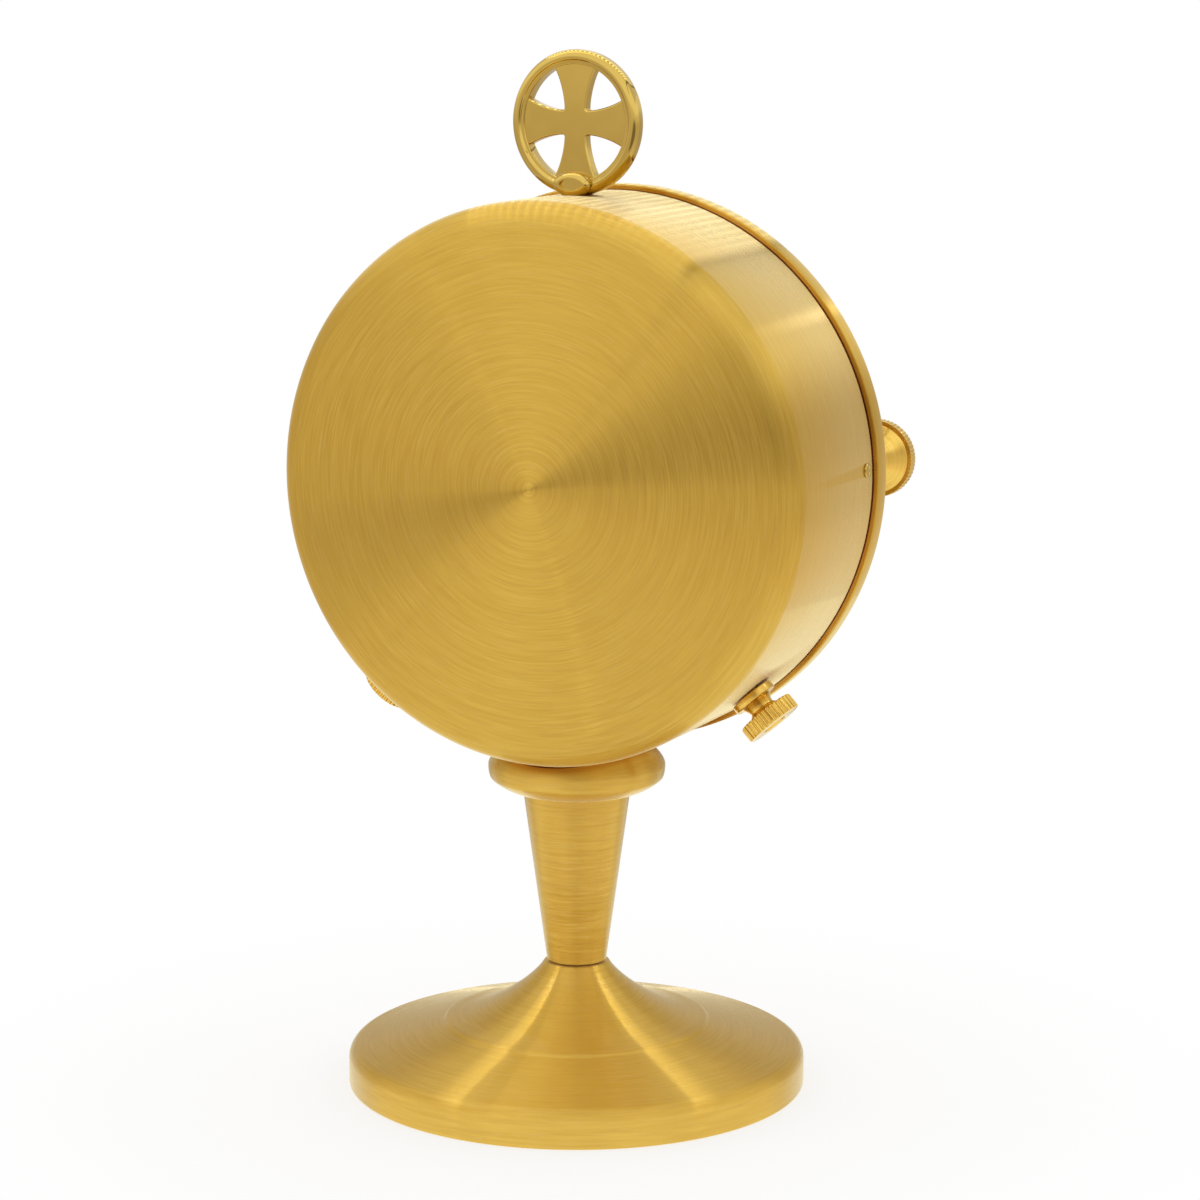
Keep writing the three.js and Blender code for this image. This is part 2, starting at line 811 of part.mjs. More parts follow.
function latchKnob() {
  const flangeBack = doorFront - seatGap;
  const flangeFront = flangeBack - knobFlangeThickness;
  const discBack = doorFront - knobStandoff;
  const discFront = discBack - knobDiscThickness;
  const neckEnd = discBack - 0.3;
  const shaft = turned([
    [0, neckEnd],
    [knobNeckRadius + 1.4, neckEnd],
    [knobNeckRadius + 1.2, discBack + 0.2],
    [knobNeckRadius + 0.2, discBack + 1.6],
    [knobNeckRadius, (discBack + flangeFront) / 2],
    [knobNeckRadius + 0.5, flangeFront],
    [knobFlangeRadius, flangeFront],
    [knobFlangeRadius, flangeBack],
    [spindleRadius, flangeBack],
    [spindleRadius, camFront - seatGap],
    [latchStudRadius, camFront - seatGap],
    [latchStudRadius, latchNutBack + 0.4],
    [0, latchNutBack + 0.4],
  ]);
  const drive = new THREE.BoxGeometry(camSquare, camThickness + 2 * seatGap, camSquare)
    .translate(0, (camFront + camBack) / 2 - 0.5 * seatGap, 0);
  const blank = turned([
    [0, discFront + 0.25],
    [0.72 * knobRadius, discFront],
    [knobRadius - 0.4, discFront],
    [knobRadius + 0.02, discFront + 0.4],
    [knobRadius + 0.02, discBack - 0.4],
    [knobRadius - 0.4, discBack],
    [knobNeckRadius, discBack - 0.25],
    [0, discBack - 0.25],
  ], knobFlutes / 2);
  const flutes = plateAcross(
    flutedShape(knobRadius, 0.3, knobFlutes), discFront - 1, discBack + 1,
  );
  return join(shaft, drive, common(blank, flutes));
}

function latchCam() {
  const tongue = polygon([
    [-camTongueWidth / 2, 0],
    [camTongueWidth / 2, 0],
    [camTongueWidth / 2, camReach - 0.35],
    [0.55 * (camTongueWidth / 2), camReach],
    [-0.55 * (camTongueWidth / 2), camReach],
    [-camTongueWidth / 2, camReach - 0.35],
  ]);
  const side = camSquare + 0.2;
  const hole = new THREE.BoxGeometry(side, 3 * camThickness, side)
    .translate(0, (camFront + camBack) / 2, 0);
  const hub = turned(rodProfile(camHubRadius, camFront, camBack));
  return cut(join(hub, plateAcross(tongue, camFront, camBack)), hole);
}

function latchBush() {
  return turned(ringProfile(
    spindleRadius + boreClearance, bushRadius, doorFront + 0.3, camFront - seatGap,
  ));
}

function buildDoor() {
  const hung = new THREE.Group();
  hung.position.z = drumCentre;
  hung.add(
    piece("door", door(), satinGold),
    piece("door_hinge_leaf", doorHingeLeaf(), satinGold),
  );
  const latch = new THREE.Group();
  latch.position.x = latchRadius;
  const latchNut = nut(latchNutFlats, latchNutThickness, latchStudRadius + boreClearance)
    .rotateX(Math.PI / 2)
    .translate(0, latchNutBack, 0);
  latch.add(
    piece("latch_bush", latchBush(), turnedGold),
    piece("latch_knob", latchKnob(), turnedGold),
    piece("latch_cam", latchCam(), turnedGold),
    piece("latch_nut", latchNut, turnedGold),
  );
  const side = radialGroup(180 + latchAngle);
  side.add(latch);
  const group = new THREE.Group();
  group.add(hung, side);
  return group;
}

function buildCase() {
  const hung = new THREE.Group();
  hung.position.z = drumCentre;
  hung.add(
    piece("drum", drum(), satinGold),
    piece("saddle_washer", saddleWasher(), turnedGold),
    piece("case_hinge_leaf", caseHingeLeaf(), satinGold),
    piece("hinge_pin", hingePin(), turnedGold),
  );
  const catchSide = radialGroup(180 + latchAngle);
  catchSide.add(piece("catch_pin", catchPin(), polishedGold));
  const group = new THREE.Group();
  group.add(hung, catchSide, buildFinial(), buildTopHolder());
  return group;
}

const lunaHolder = new THREE.Group();
lunaHolder.name = "luna_holder";
lunaHolder.add(
  buildStand(),
  buildCase(),
  buildDoor(),
  buildScrew("right", screwAngle),
  buildScrew("left", 180 - screwAngle),
);

export default lunaHolder;
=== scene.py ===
# Luna holder: brushed gold case with a hinged door on a turned stem, seen from behind.
# Sizes in the dictionaries are millimetres and degrees, but for the camera's place and the
# room's sizes, which are metres, as the meshes are.
import json
import math
import bmesh
import bpy
from mathutils import Matrix, Vector

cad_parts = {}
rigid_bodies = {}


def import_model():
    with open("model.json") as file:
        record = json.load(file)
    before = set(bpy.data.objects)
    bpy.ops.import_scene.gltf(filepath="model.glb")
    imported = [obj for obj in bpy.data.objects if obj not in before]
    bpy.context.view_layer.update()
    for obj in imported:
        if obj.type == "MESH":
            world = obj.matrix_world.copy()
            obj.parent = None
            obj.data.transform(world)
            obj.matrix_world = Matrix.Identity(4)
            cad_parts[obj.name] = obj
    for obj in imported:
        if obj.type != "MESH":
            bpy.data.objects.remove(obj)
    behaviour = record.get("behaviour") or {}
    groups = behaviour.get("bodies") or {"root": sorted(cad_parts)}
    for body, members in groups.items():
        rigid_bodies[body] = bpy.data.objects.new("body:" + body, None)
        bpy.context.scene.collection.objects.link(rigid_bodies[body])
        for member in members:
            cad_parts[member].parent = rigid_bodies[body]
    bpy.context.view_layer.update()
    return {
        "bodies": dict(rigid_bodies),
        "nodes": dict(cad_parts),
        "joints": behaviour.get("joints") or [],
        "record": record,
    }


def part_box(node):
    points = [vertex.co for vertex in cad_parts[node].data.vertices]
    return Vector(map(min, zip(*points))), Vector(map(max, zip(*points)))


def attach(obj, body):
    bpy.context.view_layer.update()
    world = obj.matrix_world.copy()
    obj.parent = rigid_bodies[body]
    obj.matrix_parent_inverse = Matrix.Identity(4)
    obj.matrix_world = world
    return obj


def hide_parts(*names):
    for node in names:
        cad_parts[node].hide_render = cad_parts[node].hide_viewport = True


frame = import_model()

mm = 0.001
turnedWeld = 0.0005 * mm
threadWeld = 0.001 * mm
upAxis = Vector((0, 0, 1))
depthAxis = Vector((0, 1, 0))
upright = Matrix.Identity(4)
alongY = Matrix.Rotation(math.radians(-90), 4, "X")     # local Z to +Y


def middleOf(node):
    low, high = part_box(node)
    return (Vector(low) + Vector(high)) / 2


def standingOn(node):
    return Matrix.Translation(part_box(node)[0][2] * upAxis)


caseCentre = Vector((0, 0, middleOf("drum").z))
backward = Matrix.Translation(caseCentre) @ alongY
throughCase = (-30, 30)      # ends of a tool that passes through along the case's axis
throughPiece = (-9, 9)       # the same, through a small piece


# Camera
cameraView = {
    "place": (-0.26917, 0.58374, 0.20433),
    "turn": 204.38,      # about the vertical
    "tilt": 79.99,       # from straight down
    "roll": 0.126,
    "lens": 106.98,
    "sensor": 36,
}


def makeCamera(view):
    data = bpy.data.cameras.new("camera")
    data.lens = view["lens"]
    data.sensor_width = view["sensor"]
    data.clip_start = 0.01
    camera = bpy.data.objects.new("camera", data)
    bpy.context.scene.collection.objects.link(camera)
    camera.matrix_world = (
        Matrix.Translation(view["place"])
        @ Matrix.Rotation(math.radians(view["turn"]), 4, "Z")
        @ Matrix.Rotation(math.radians(view["tilt"]), 4, "X")
        @ Matrix.Rotation(math.radians(view["roll"]), 4, "Z")
    )
    bpy.context.scene.camera = camera


makeCamera(cameraView)
print("camera placed")


# Node helpers
def addNode(tree, kind, inputs=None, **settings):
    node = tree.nodes.new(kind)
    for name, value in settings.items():
        setattr(node, name, value)
    for socket, value in (inputs or {}).items():
        if isinstance(value, bpy.types.NodeSocket):
            tree.links.new(value, node.inputs[socket])
        else:
            node.inputs[socket].default_value = value
    return node


def vectorMath(tree, operation, a, b=None):
    inputs = {0: a} if b is None else {0: a, 1: b}
    return addNode(tree, "ShaderNodeVectorMath", inputs, operation=operation).outputs[0]


def scaled(tree, vector, factor):
    return addNode(
        tree, "ShaderNodeVectorMath", {"Vector": vector, "Scale": factor}, operation="SCALE",
    ).outputs[0]


def number(tree, operation, a, b=0.0):
    return addNode(tree, "ShaderNodeMath", {0: a, 1: b}, operation=operation).outputs[0]


def mapped(tree, value, low, high, start, end, smooth=False):
    kind = "SMOOTHSTEP" if smooth else "LINEAR"
    return addNode(
        tree, "ShaderNodeMapRange",
        {"Value": value, "From Min": low, "From Max": high, "To Min": start, "To Max": end},
        interpolation_type=kind,
    ).outputs[0]


def mixedColour(tree, share, dark, light):
    return addNode(
        tree, "ShaderNodeMix", {0: share, 6: dark, 7: light}, data_type="RGBA",
    ).outputs[2]


# Metal finishes
brushedGold = {
    "light": (0.76, 0.50, 0.085, 1),
    "dark": (0.69, 0.43, 0.065, 1),
    "pale": (0.86, 0.78, 0.50, 1),         # towards the edges of what is seen
    "paleFrom": 0.5,
    "roughness": (0.37, 0.42),
    "grooves": [             # width, length, tilt
        (0.1, 3.5, 0.5),
        (0.3, 9, 0.3),
    ],
    "bands": 0.6,            # change along the axis over a groove's width
    "contrast": (0.3, 0.7),
    "hairlines": 0.13,       # share of the pale colour in the finest scratches
    "hairlineRange": (0.58, 0.74),
    "streakShare": 0.65,
    "streakRoughness": 0.22,
    "streakLength": 0.92,    # how much further light spreads across the grooves than along them
    "lacquerAndPaintedReflection": 0.5,
    "lacquerRoughness": 0.14,
}
turnedGold = dict(
    brushedGold,
    light=(0.80, 0.54, 0.11, 1), dark=(0.73, 0.46, 0.08, 1), roughness=(0.2, 0.26), hairlines=0.1,
    grooves=[(0.08, 2.5, 0.35), (0.22, 5, 0.15)], streakShare=0.5, streakRoughness=0.2,
    streakLength=0.7, lacquerRoughness=0.08,
)
# The case's brushed gold, painted lighter on the stand to stand in for light it lacks
standBrushedPaintedLighter = dict(brushedGold, light=(0.84, 0.555, 0.10, 1), dark=(0.77, 0.485, 0.08, 1))
zincSteel = dict(
    turnedGold,
    light=(0.66, 0.66, 0.64, 1), dark=(0.52, 0.53, 0.53, 1), pale=(0.8, 0.8, 0.8, 1),
    roughness=(0.24, 0.34), lacquerAndPaintedReflection=0.0,
)
# Polished cast gold: olive like its plating, painted darker as shade for the dark surroundings it
# reflects
polishedGoldPaintedDarker = {
    "light": (0.59, 0.41, 0.09, 1),
    "dark": (0.50, 0.335, 0.06, 1),
    "roughness": (0.05, 0.09),
    "contrast": (0.3, 0.7),
    "cloudSize": 5.0,
    "ripple": 0.012,
    "lacquerAndPaintedReflection": 0.4,
}


# Where metal meets the case's side: painted shade in the joint and a painted orange reflection of the
# case's side beside it, between distances along the case's axis and from it
doorPaintedShade = {"along": (-17.85, -17.5), "paintedJointShade": (50.1, 50.86), "lacquerAndPaintedReflection": (51.35, 51.65)}
knopPaintedShade = {"along": (-25, 25), "paintedJointShade": (50, 51.4), "lacquerAndPaintedReflection": (51.5, 53.0)}
paintedJointShadeFade = 0.05
paintedShadeColours = {"paintedJointShade": (0.20, 0.05, 0.01, 1), "lacquerAndPaintedReflection": (0.68, 0.32, 0.035, 1)}


def polar(tree, place, axis, centre):
    offset = vectorMath(tree, "SUBTRACT", place, centre)
    along = addNode(
        tree, "ShaderNodeVectorMath", {0: offset, 1: axis}, operation="DOT_PRODUCT",
    ).outputs["Value"]
    radial = vectorMath(tree, "SUBTRACT", offset, scaled(tree, axis, along))
    radius = addNode(tree, "ShaderNodeVectorMath", {0: radial}, operation="LENGTH").outputs["Value"]
    return along, radial, radius


# Paints shade into a joint with the case's side, and an orange reflection of that side beside it
def withPaintedShade(tree, place, colour, paintedShade):
    along, _, radius = polar(tree, place, depthAxis, caseCentre)
    low, high = paintedShade["along"]
    inside = number(
        tree, "MULTIPLY", number(tree, "GREATER_THAN", along, low * mm),
        number(tree, "LESS_THAN", along, high * mm),
    )
    near, far = paintedShade["lacquerAndPaintedReflection"]
    lacquerAndPaintedReflection = mapped(tree, radius, near * mm, far * mm, 1.0, 0.0, True)
    inner, outer = paintedShade["paintedJointShade"]
    paintedJointShade = number(
        tree, "MULTIPLY", mapped(tree, radius, outer * mm, (outer + paintedJointShadeFade) * mm, 1.0, 0.0),
        number(tree, "GREATER_THAN", radius, inner * mm),
    )
    for share, paint in ((lacquerAndPaintedReflection, "lacquerAndPaintedReflection"), (paintedJointShade, "paintedJointShade")):
        share = number(tree, "MULTIPLY", share, inside)
        colour = mixedColour(tree, share, colour, paintedShadeColours[paint])
    return colour


# Metal brushed in circles round an axis through a centre: each fine groove tilts the surface
# across itself, so light spreads across the grooves and stays sharp along them
def circleBrushed(name, look, axis, centre, paintedShade=None):
    material = bpy.data.materials.new(name)
    material.use_nodes = True
    tree = material.node_tree
    shader = tree.nodes["Principled BSDF"]
    place = addNode(tree, "ShaderNodeTexCoord").outputs["Object"]
    along, radial, radius = polar(tree, place, axis, centre)
    facing = vectorMath(tree, "NORMALIZE", radial)
    tangent = addNode(
        tree, "ShaderNodeVectorTransform", {0: vectorMath(tree, "CROSS_PRODUCT", facing, axis)},
        vector_type="VECTOR", convert_from="OBJECT", convert_to="WORLD",
    ).outputs[0]

    def grooves(width, length):
        step = number(tree, "MULTIPLY", along, look["bands"] / (width * mm))
        return addNode(
            tree, "ShaderNodeTexNoise",
            {
                "Vector": vectorMath(
                    tree, "ADD", scaled(tree, radial, 1 / (length * mm)), scaled(tree, axis, step),
                ),
                "W": number(tree, "MULTIPLY", radius, 1 / (width * mm)),
                "Scale": 1.0, "Detail": 1.0, "Roughness": 0.5,
            },
            noise_dimensions="4D",
        ).outputs[0]

    layers = [(grooves(width, length), amount) for width, length, amount in look["grooves"]]
    tilt = 0.0
    for layer, amount in layers:
        slope = number(tree, "MULTIPLY", number(tree, "SUBTRACT", layer, 0.5), amount)
        tilt = number(tree, "ADD", slope, tilt)
    surface = addNode(tree, "ShaderNodeNewGeometry").outputs["Normal"]
    across = vectorMath(tree, "NORMALIZE", vectorMath(tree, "CROSS_PRODUCT", tangent, surface))
    normal = vectorMath(
        tree, "NORMALIZE", vectorMath(tree, "ADD", surface, scaled(tree, across, tilt)),
    )
    scratches = mapped(tree, layers[1][0], *look["contrast"], 0.0, 1.0)
    hairlines = mapped(tree, layers[0][0], *look["hairlineRange"], 0.0, look["hairlines"])
    colour = mixedColour(
        tree, hairlines, mixedColour(tree, scratches, look["dark"], look["light"]), look["pale"],
    )
    pale = look["pale"]
    # painted shade in the joint and painted reflection beside it, where the piece meets the case's
    # side
    if paintedShade:
        colour = withPaintedShade(tree, place, colour, paintedShade)
        pale = withPaintedShade(tree, place, pale, paintedShade)
    low, high = look["roughness"]
    tree.links.new(colour, shader.inputs["Base Color"])
    tree.links.new(mapped(tree, scratches, 0.0, 1.0, high, low), shader.inputs["Roughness"])
    tree.links.new(normal, shader.inputs["Normal"])
    tree.links.new(normal, shader.inputs["Coat Normal"])
    tree.links.new(tangent, shader.inputs["Tangent"])
    shader.inputs["Metallic"].default_value = 1.0
    shader.inputs["Anisotropic"].default_value = 1.0
    shader.inputs["Anisotropic Rotation"].default_value = 0.25
    shader.inputs["Coat Weight"].default_value = look["lacquerAndPaintedReflection"]
    shader.inputs["Coat Roughness"].default_value = look["lacquerRoughness"]
    edge = addNode(tree, "ShaderNodeLayerWeight", {"Blend": 0.5}).outputs["Facing"]
    paler = mapped(tree, edge, look["paleFrom"], 1.0, 0.0, 1.0, True)
    streaks = addNode(
        tree, "ShaderNodeBsdfAnisotropic",
        {
            "Color": mixedColour(tree, paler, colour, pale),
            "Roughness": look["streakRoughness"],
            "Anisotropy": look["streakLength"], "Normal": normal, "Tangent": tangent,
        },
    )
    both = addNode(
        tree, "ShaderNodeMixShader",
        {0: look["streakShare"], 1: shader.outputs[0], 2: streaks.outputs[0]},
    )
    tree.links.new(both.outputs[0], tree.nodes["Material Output"].inputs["Surface"])
    return material


def castPolished(name, look):
    material = bpy.data.materials.new(name)
    material.use_nodes = True
    tree = material.node_tree
    shader = tree.nodes["Principled BSDF"]
    place = addNode(tree, "ShaderNodeTexCoord").outputs["Object"]
    clouds = addNode(
        tree, "ShaderNodeTexNoise",
        {"Vector": place, "Scale": 1 / (look["cloudSize"] * mm), "Detail": 3.0},
    ).outputs[0]
    colour = mixedColour(tree, clouds, look["dark"], look["light"])
    roughness = mapped(tree, clouds, *look["contrast"], *look["roughness"])
    tree.links.new(colour, shader.inputs["Base Color"])
    tree.links.new(roughness, shader.inputs["Roughness"])
    bump = addNode(
        tree, "ShaderNodeBump",
        {"Height": clouds, "Strength": 1.0, "Distance": look["ripple"] * mm},
    ).outputs[0]
    tree.links.new(bump, shader.inputs["Normal"])
    shader.inputs["Metallic"].default_value = 1.0
    shader.inputs["Coat Weight"].default_value = look["lacquerAndPaintedReflection"]
    return material


def radialDirection(angleBelow):
    angle = math.radians(angleBelow)
    return Vector((math.cos(angle), 0, -math.sin(angle)))


latchAngle = 182.4       # below +X, as the screws' angles are
latchRadius = 46.2
screwAngles = {"right": 47.5, "left": 132.5}
latchCentre = caseCentre + latchRadius * mm * radialDirection(latchAngle)
hingeCentre = middleOf("hinge_pin")
# The case's gold has painted shade and reflection at the door's joint with the drum
caseGold = circleBrushed("case_gold", brushedGold, depthAxis, caseCentre, doorPaintedShade)
# The stand's gold has painted shade and reflection where the knop meets the drum
standGold = circleBrushed("stand_gold", standBrushedPaintedLighter, upAxis, (0, 0, 0), knopPaintedShade)
topGold = circleBrushed("top_rest_gold", turnedGold, upAxis, (0, 0, 0))
hingeGold = circleBrushed("hinge_gold", turnedGold, upAxis, hingeCentre)
knobGold = circleBrushed("knob_gold", turnedGold, depthAxis, latchCentre)
screwGold = {
    side: circleBrushed(side + "_screw_gold", turnedGold, radialDirection(angle), caseCentre)
    for side, angle in screwAngles.items()
}
boltSteel = circleBrushed("bolt_steel", zincSteel, upAxis, (0, 0, 0))
finialGold = castPolished("finial_gold", polishedGoldPaintedDarker)
print("materials made")


# Mesh helpers
def newLine(bm, corners, closed=False, segments=6):
    verts = [bm.verts.new((radius * mm, 0, height * mm)) for radius, height, _ in corners]
    for start, end in zip(verts, verts[1:]):
        bm.edges.new((start, end))
    if closed:
        bm.edges.new((verts[-1], verts[0]))
    for vert, (_, _, rounding) in zip(verts, corners):
        if rounding:
            bmesh.ops.bevel(
                bm, geom=[vert], offset=rounding * mm, offset_type="OFFSET", affect="VERTICES",
                segments=max(3, round(segments * rounding ** 0.5)), profile=0.5, material=-1,
            )


# An outline of (radius, height, rounding) corners, turned about the Z axis
def turnedMesh(corners, closed=False, steps=96, segments=6):
    bm = bmesh.new()
    newLine(bm, corners, closed, segments)
    bmesh.ops.spin(
        bm, geom=bm.verts[:] + bm.edges[:], cent=(0, 0, 0), axis=(0, 0, 1), dvec=(0, 0, 0),
        angle=math.tau, steps=steps, use_merge=True,
    )
    bmesh.ops.remove_doubles(bm, verts=bm.verts, dist=turnedWeld)
    return bm


# A flat outline of (x, y, rounding) corners, made solid from one height to another
def plateMesh(corners, low, high, segments=6):
    bm = bmesh.new()
    newLine(bm, corners, True, segments)
    bmesh.ops.transform(bm, matrix=Matrix.Rotation(math.radians(-90), 4, "X"), verts=bm.verts)
    bmesh.ops.translate(bm, vec=(0, 0, low * mm), verts=bm.verts)
    face = bmesh.ops.contextual_create(bm, geom=bm.edges[:])["faces"]
    top = bmesh.ops.extrude_face_region(bm, geom=face)["geom"]
    risen = [item for item in top if isinstance(item, bmesh.types.BMVert)]
    bmesh.ops.translate(bm, vec=(0, 0, (high - low) * mm), verts=risen)
    return bm


def repaint(piece, material):
    piece.data.materials.clear()
    piece.data.materials.append(material)


def shade(piece, crease=33):
    piece.data.shade_smooth()
    piece.data.set_sharp_from_angle(angle=math.radians(crease))


def finishPiece(bm, name, material, place=upright):
    bmesh.ops.transform(bm, matrix=place, verts=bm.verts)
    bmesh.ops.recalc_face_normals(bm, faces=bm.faces)
    mesh = bpy.data.meshes.new(name)
    bm.to_mesh(mesh)
    bm.free()
    mesh.materials.append(material)
    piece = bpy.data.objects.new(name, mesh)
    bpy.context.scene.collection.objects.link(piece)
    shade(piece)
    return piece


def turnedPiece(name, material, corners, place=upright, closed=False, steps=96, segments=6):
    return finishPiece(turnedMesh(corners, closed, steps, segments), name, material, place)


def applyModifiers(piece):
    bpy.context.view_layer.update()
    dressed = piece.evaluated_get(bpy.context.evaluated_depsgraph_get())
    mesh = bpy.data.meshes.new_from_object(dressed)
    piece.modifiers.clear()
    piece.data = mesh
    shade(piece)


# Cuts the tools out of a piece, or joins them to it, and keeps only the result
def change(piece, operation, *tools):
    for tool in tools:
        step = piece.modifiers.new("change", "BOOLEAN")
        step.operation = operation
        step.solver = "EXACT"
        step.object = tool
    applyModifiers(piece)
    for tool in tools:
        bpy.data.objects.remove(tool)


def soften(piece, width, segments=2, angle=35):
    step = piece.modifiers.new("soften", "BEVEL")
    step.width = width * mm
    step.segments = segments
    step.limit_method = "ANGLE"
    step.angle_limit = math.radians(angle)
    step.miter_outer = "MITER_ARC"
    applyModifiers(piece)


def rod(radius, low, high, place=upright, steps=48, hole=0):
    corners = [(hole, low, 0), (radius, low, 0), (radius, high, 0), (hole, high, 0)]
    return turnedPiece("rod", caseGold, corners, place, bool(hole), steps)


# Straight flutes round a head, cut by a ring of small rods
def cutFlutes(piece, fluted, place):
    low, high = fluted["ends"]
    bm = bmesh.new()
    bmesh.ops.create_cone(
        bm, cap_ends=True, segments=16, radius1=fluted["width"] / 2 * mm,
        radius2=fluted["width"] / 2 * mm, depth=(high - low) * mm,
    )
    bmesh.ops.translate(bm, vec=(fluted["radius"] * mm, 0, (low + high) / 2 * mm), verts=bm.verts)
    count = fluted["count"]
    bmesh.ops.spin(
        bm, geom=bm.verts[:] + bm.edges[:] + bm.faces[:], cent=(0, 0, 0), axis=(0, 0, 1),
        dvec=(0, 0, 0), angle=math.tau * (count - 1) / count, steps=count - 1, use_duplicate=True,
    )
    change(piece, "DIFFERENCE", finishPiece(bm, "flutes", caseGold, place))


threadDepth = 0.6        # of a pitch
spareTurns = 3           # of a thread, half of them before the rod and the rest past it


# A rod with a real helical thread: one pitch of the V turns round and climbs, from before the
# rod's low end to past its high end, and is then cut to length
def threadedRod(radius, pitch, low, high, place=upright, steps=24):
    bm = bmesh.new()
    root = radius - threadDepth * pitch
    newLine(bm, [(root, 0, 0), (radius, pitch / 2, 0), (root, pitch, 0)])
    turns = math.ceil((high - low) / pitch) + spareTurns
    bmesh.ops.spin(
        bm, geom=bm.verts[:] + bm.edges[:], cent=(0, 0, 0), axis=(0, 0, 1),
        dvec=(0, 0, pitch * mm / steps), angle=math.tau * turns, steps=steps * turns,
    )
    bmesh.ops.translate(bm, vec=(0, 0, (low - spareTurns / 2 * pitch) * mm), verts=bm.verts)
    bmesh.ops.remove_doubles(bm, verts=bm.verts, dist=threadWeld)
    bmesh.ops.holes_fill(bm, edges=[edge for edge in bm.edges if edge.is_boundary], sides=0)
    thread = finishPiece(bm, "thread", caseGold, place)
    change(thread, "INTERSECT", rod(radius + 1, low, high, place))
    return thread


def dress(piece, body, slotName, *nodes):
    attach(piece, body)
    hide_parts(*nodes)


nutChamfer = {"slope": 0.3, "edge": 0.25, "beyond": 0.3}


def hexagonPiece(name, material, flats, thickness, bore, place):
    corner = flats / math.sqrt(3)
    bm = bmesh.new()
    bmesh.ops.create_cone(
        bm, cap_ends=True, segments=6, radius1=corner * mm, radius2=corner * mm, depth=thickness * mm,
    )
    bmesh.ops.translate(bm, vec=(0, 0, thickness / 2 * mm), verts=bm.verts)
    piece = finishPiece(bm, name, material, place)
    slant = nutChamfer["slope"] * (corner - flats / 2) + nutChamfer["edge"]
    beyond = corner + nutChamfer["beyond"]
    chamfered = turnedPiece("chamfer", material, [
        (0, 0, 0), (flats / 2, 0, 0), (beyond, slant, 0), (beyond, thickness - slant, 0),
        (flats / 2, thickness, 0), (0, thickness, 0),
    ], place)
    change(piece, "INTERSECT", chamfered)
    change(piece, "DIFFERENCE", rod(bore, -1, thickness + 1, place))
    return piece


# Stand
footSizes = {
    "corners": [
        (40.75, 0, 0.3), (42.1, 0, 0.25), (42.45, 0.4, 0.2), (42.45, 6.9, 1.9),
        (40.1, 7.45, 0.5), (24.75, 11.45, 0.3), (24.35, 12.0, 0.25),
        (12.67, 14.3, 10.2), (6.6, 22.0, 0.5), (6.0, 22.9, 0.2),
        (2.65, 22.9, 0), (2.65, 21.22, 0), (4.9, 21.22, 0),
        (12.3, 13.1, 6.5), (24.3, 10.35, 0), (39.6, 6.1, 0), (40.75, 4.2, 0),
    ],
    "steps": 288,
}
stemSizes = {
    "corners": [(2.65, 0, 0), (5.5, 0, 0.3), (9.88, 31.95, 0), (2.65, 31.95, 0)],
    "steps": 192,
}
knopSizes = {
    "corners": [
        (2.65, 0, 0), (8.0, 0, 0.8), (13.9, 1.25, 2.6), (16.4, 3.65, 1.9), (16.3, 6.4, 1.6),
        (11.9, 11.2, 1.5), (2.65, 11.2, 0),
    ],
    "saddle": 51.1,      # radius of the hollow that takes the drum
    "steps": 192,
}
boltSizes = {
    "radius": 2.5,
    "pitch": 0.8,
    "threadTop": 26,
    "end": 13.62,
    "seat": 65.8,
    "head": [(0, 65.8, 0), (4.3, 65.8, 0.15), (4.3, 68.4, 0.6), (0, 68.4, 0)],
    "headOverlap": 0.5,
    "threadOverlap": 0.2,
    "slot": (1.0, 67.2),     # width and bottom
    "slotReach": (9, 70),
}
washerSizes = {
    "bore": 2.65,
    "foot": [(2.65, 19.92, 0.1), (4.6, 19.92, 0.2), (4.6, 20.92, 0.2), (2.65, 20.92, 0.1)],
    "saddleRadius": 7.0,
    "saddleHeights": (50, 75),
    "saddleShell": (48.4, 49.6),
    "saddleEnds": (-12, 12),
    "saddleRounding": 0.15,
    "nutFlats": 8,
    "nutHeight": 4,
}


def boxTool(low, high, place=upright):
    bm = bmesh.new()
    bmesh.ops.create_cube(bm, size=1)
    size = (Vector(high) - Vector(low)) * mm
    bmesh.ops.scale(bm, vec=size, verts=bm.verts)
    bmesh.ops.translate(bm, vec=(Vector(low) + Vector(high)) / 2 * mm, verts=bm.verts)
    return finishPiece(bm, "box", caseGold, place)


def makeStand():
    foot = turnedPiece(
        "foot_shell", standGold, footSizes["corners"], closed=True, steps=footSizes["steps"],
    )
    dress(foot, "case", "satin_gold", "foot")
    stem = turnedPiece(
        "stem_cone", standGold, stemSizes["corners"], standingOn("stem"), True, stemSizes["steps"],
    )
    dress(stem, "case", "satin_gold", "stem")
    knop = turnedPiece(
        "knop_bulb", standGold, knopSizes["corners"], standingOn("knop"), True, knopSizes["steps"],
    )
    saddle = rod(knopSizes["saddle"], *throughCase, backward, drumSizes["steps"])
    change(knop, "DIFFERENCE", saddle)
    dress(knop, "case", "satin_gold", "knop")


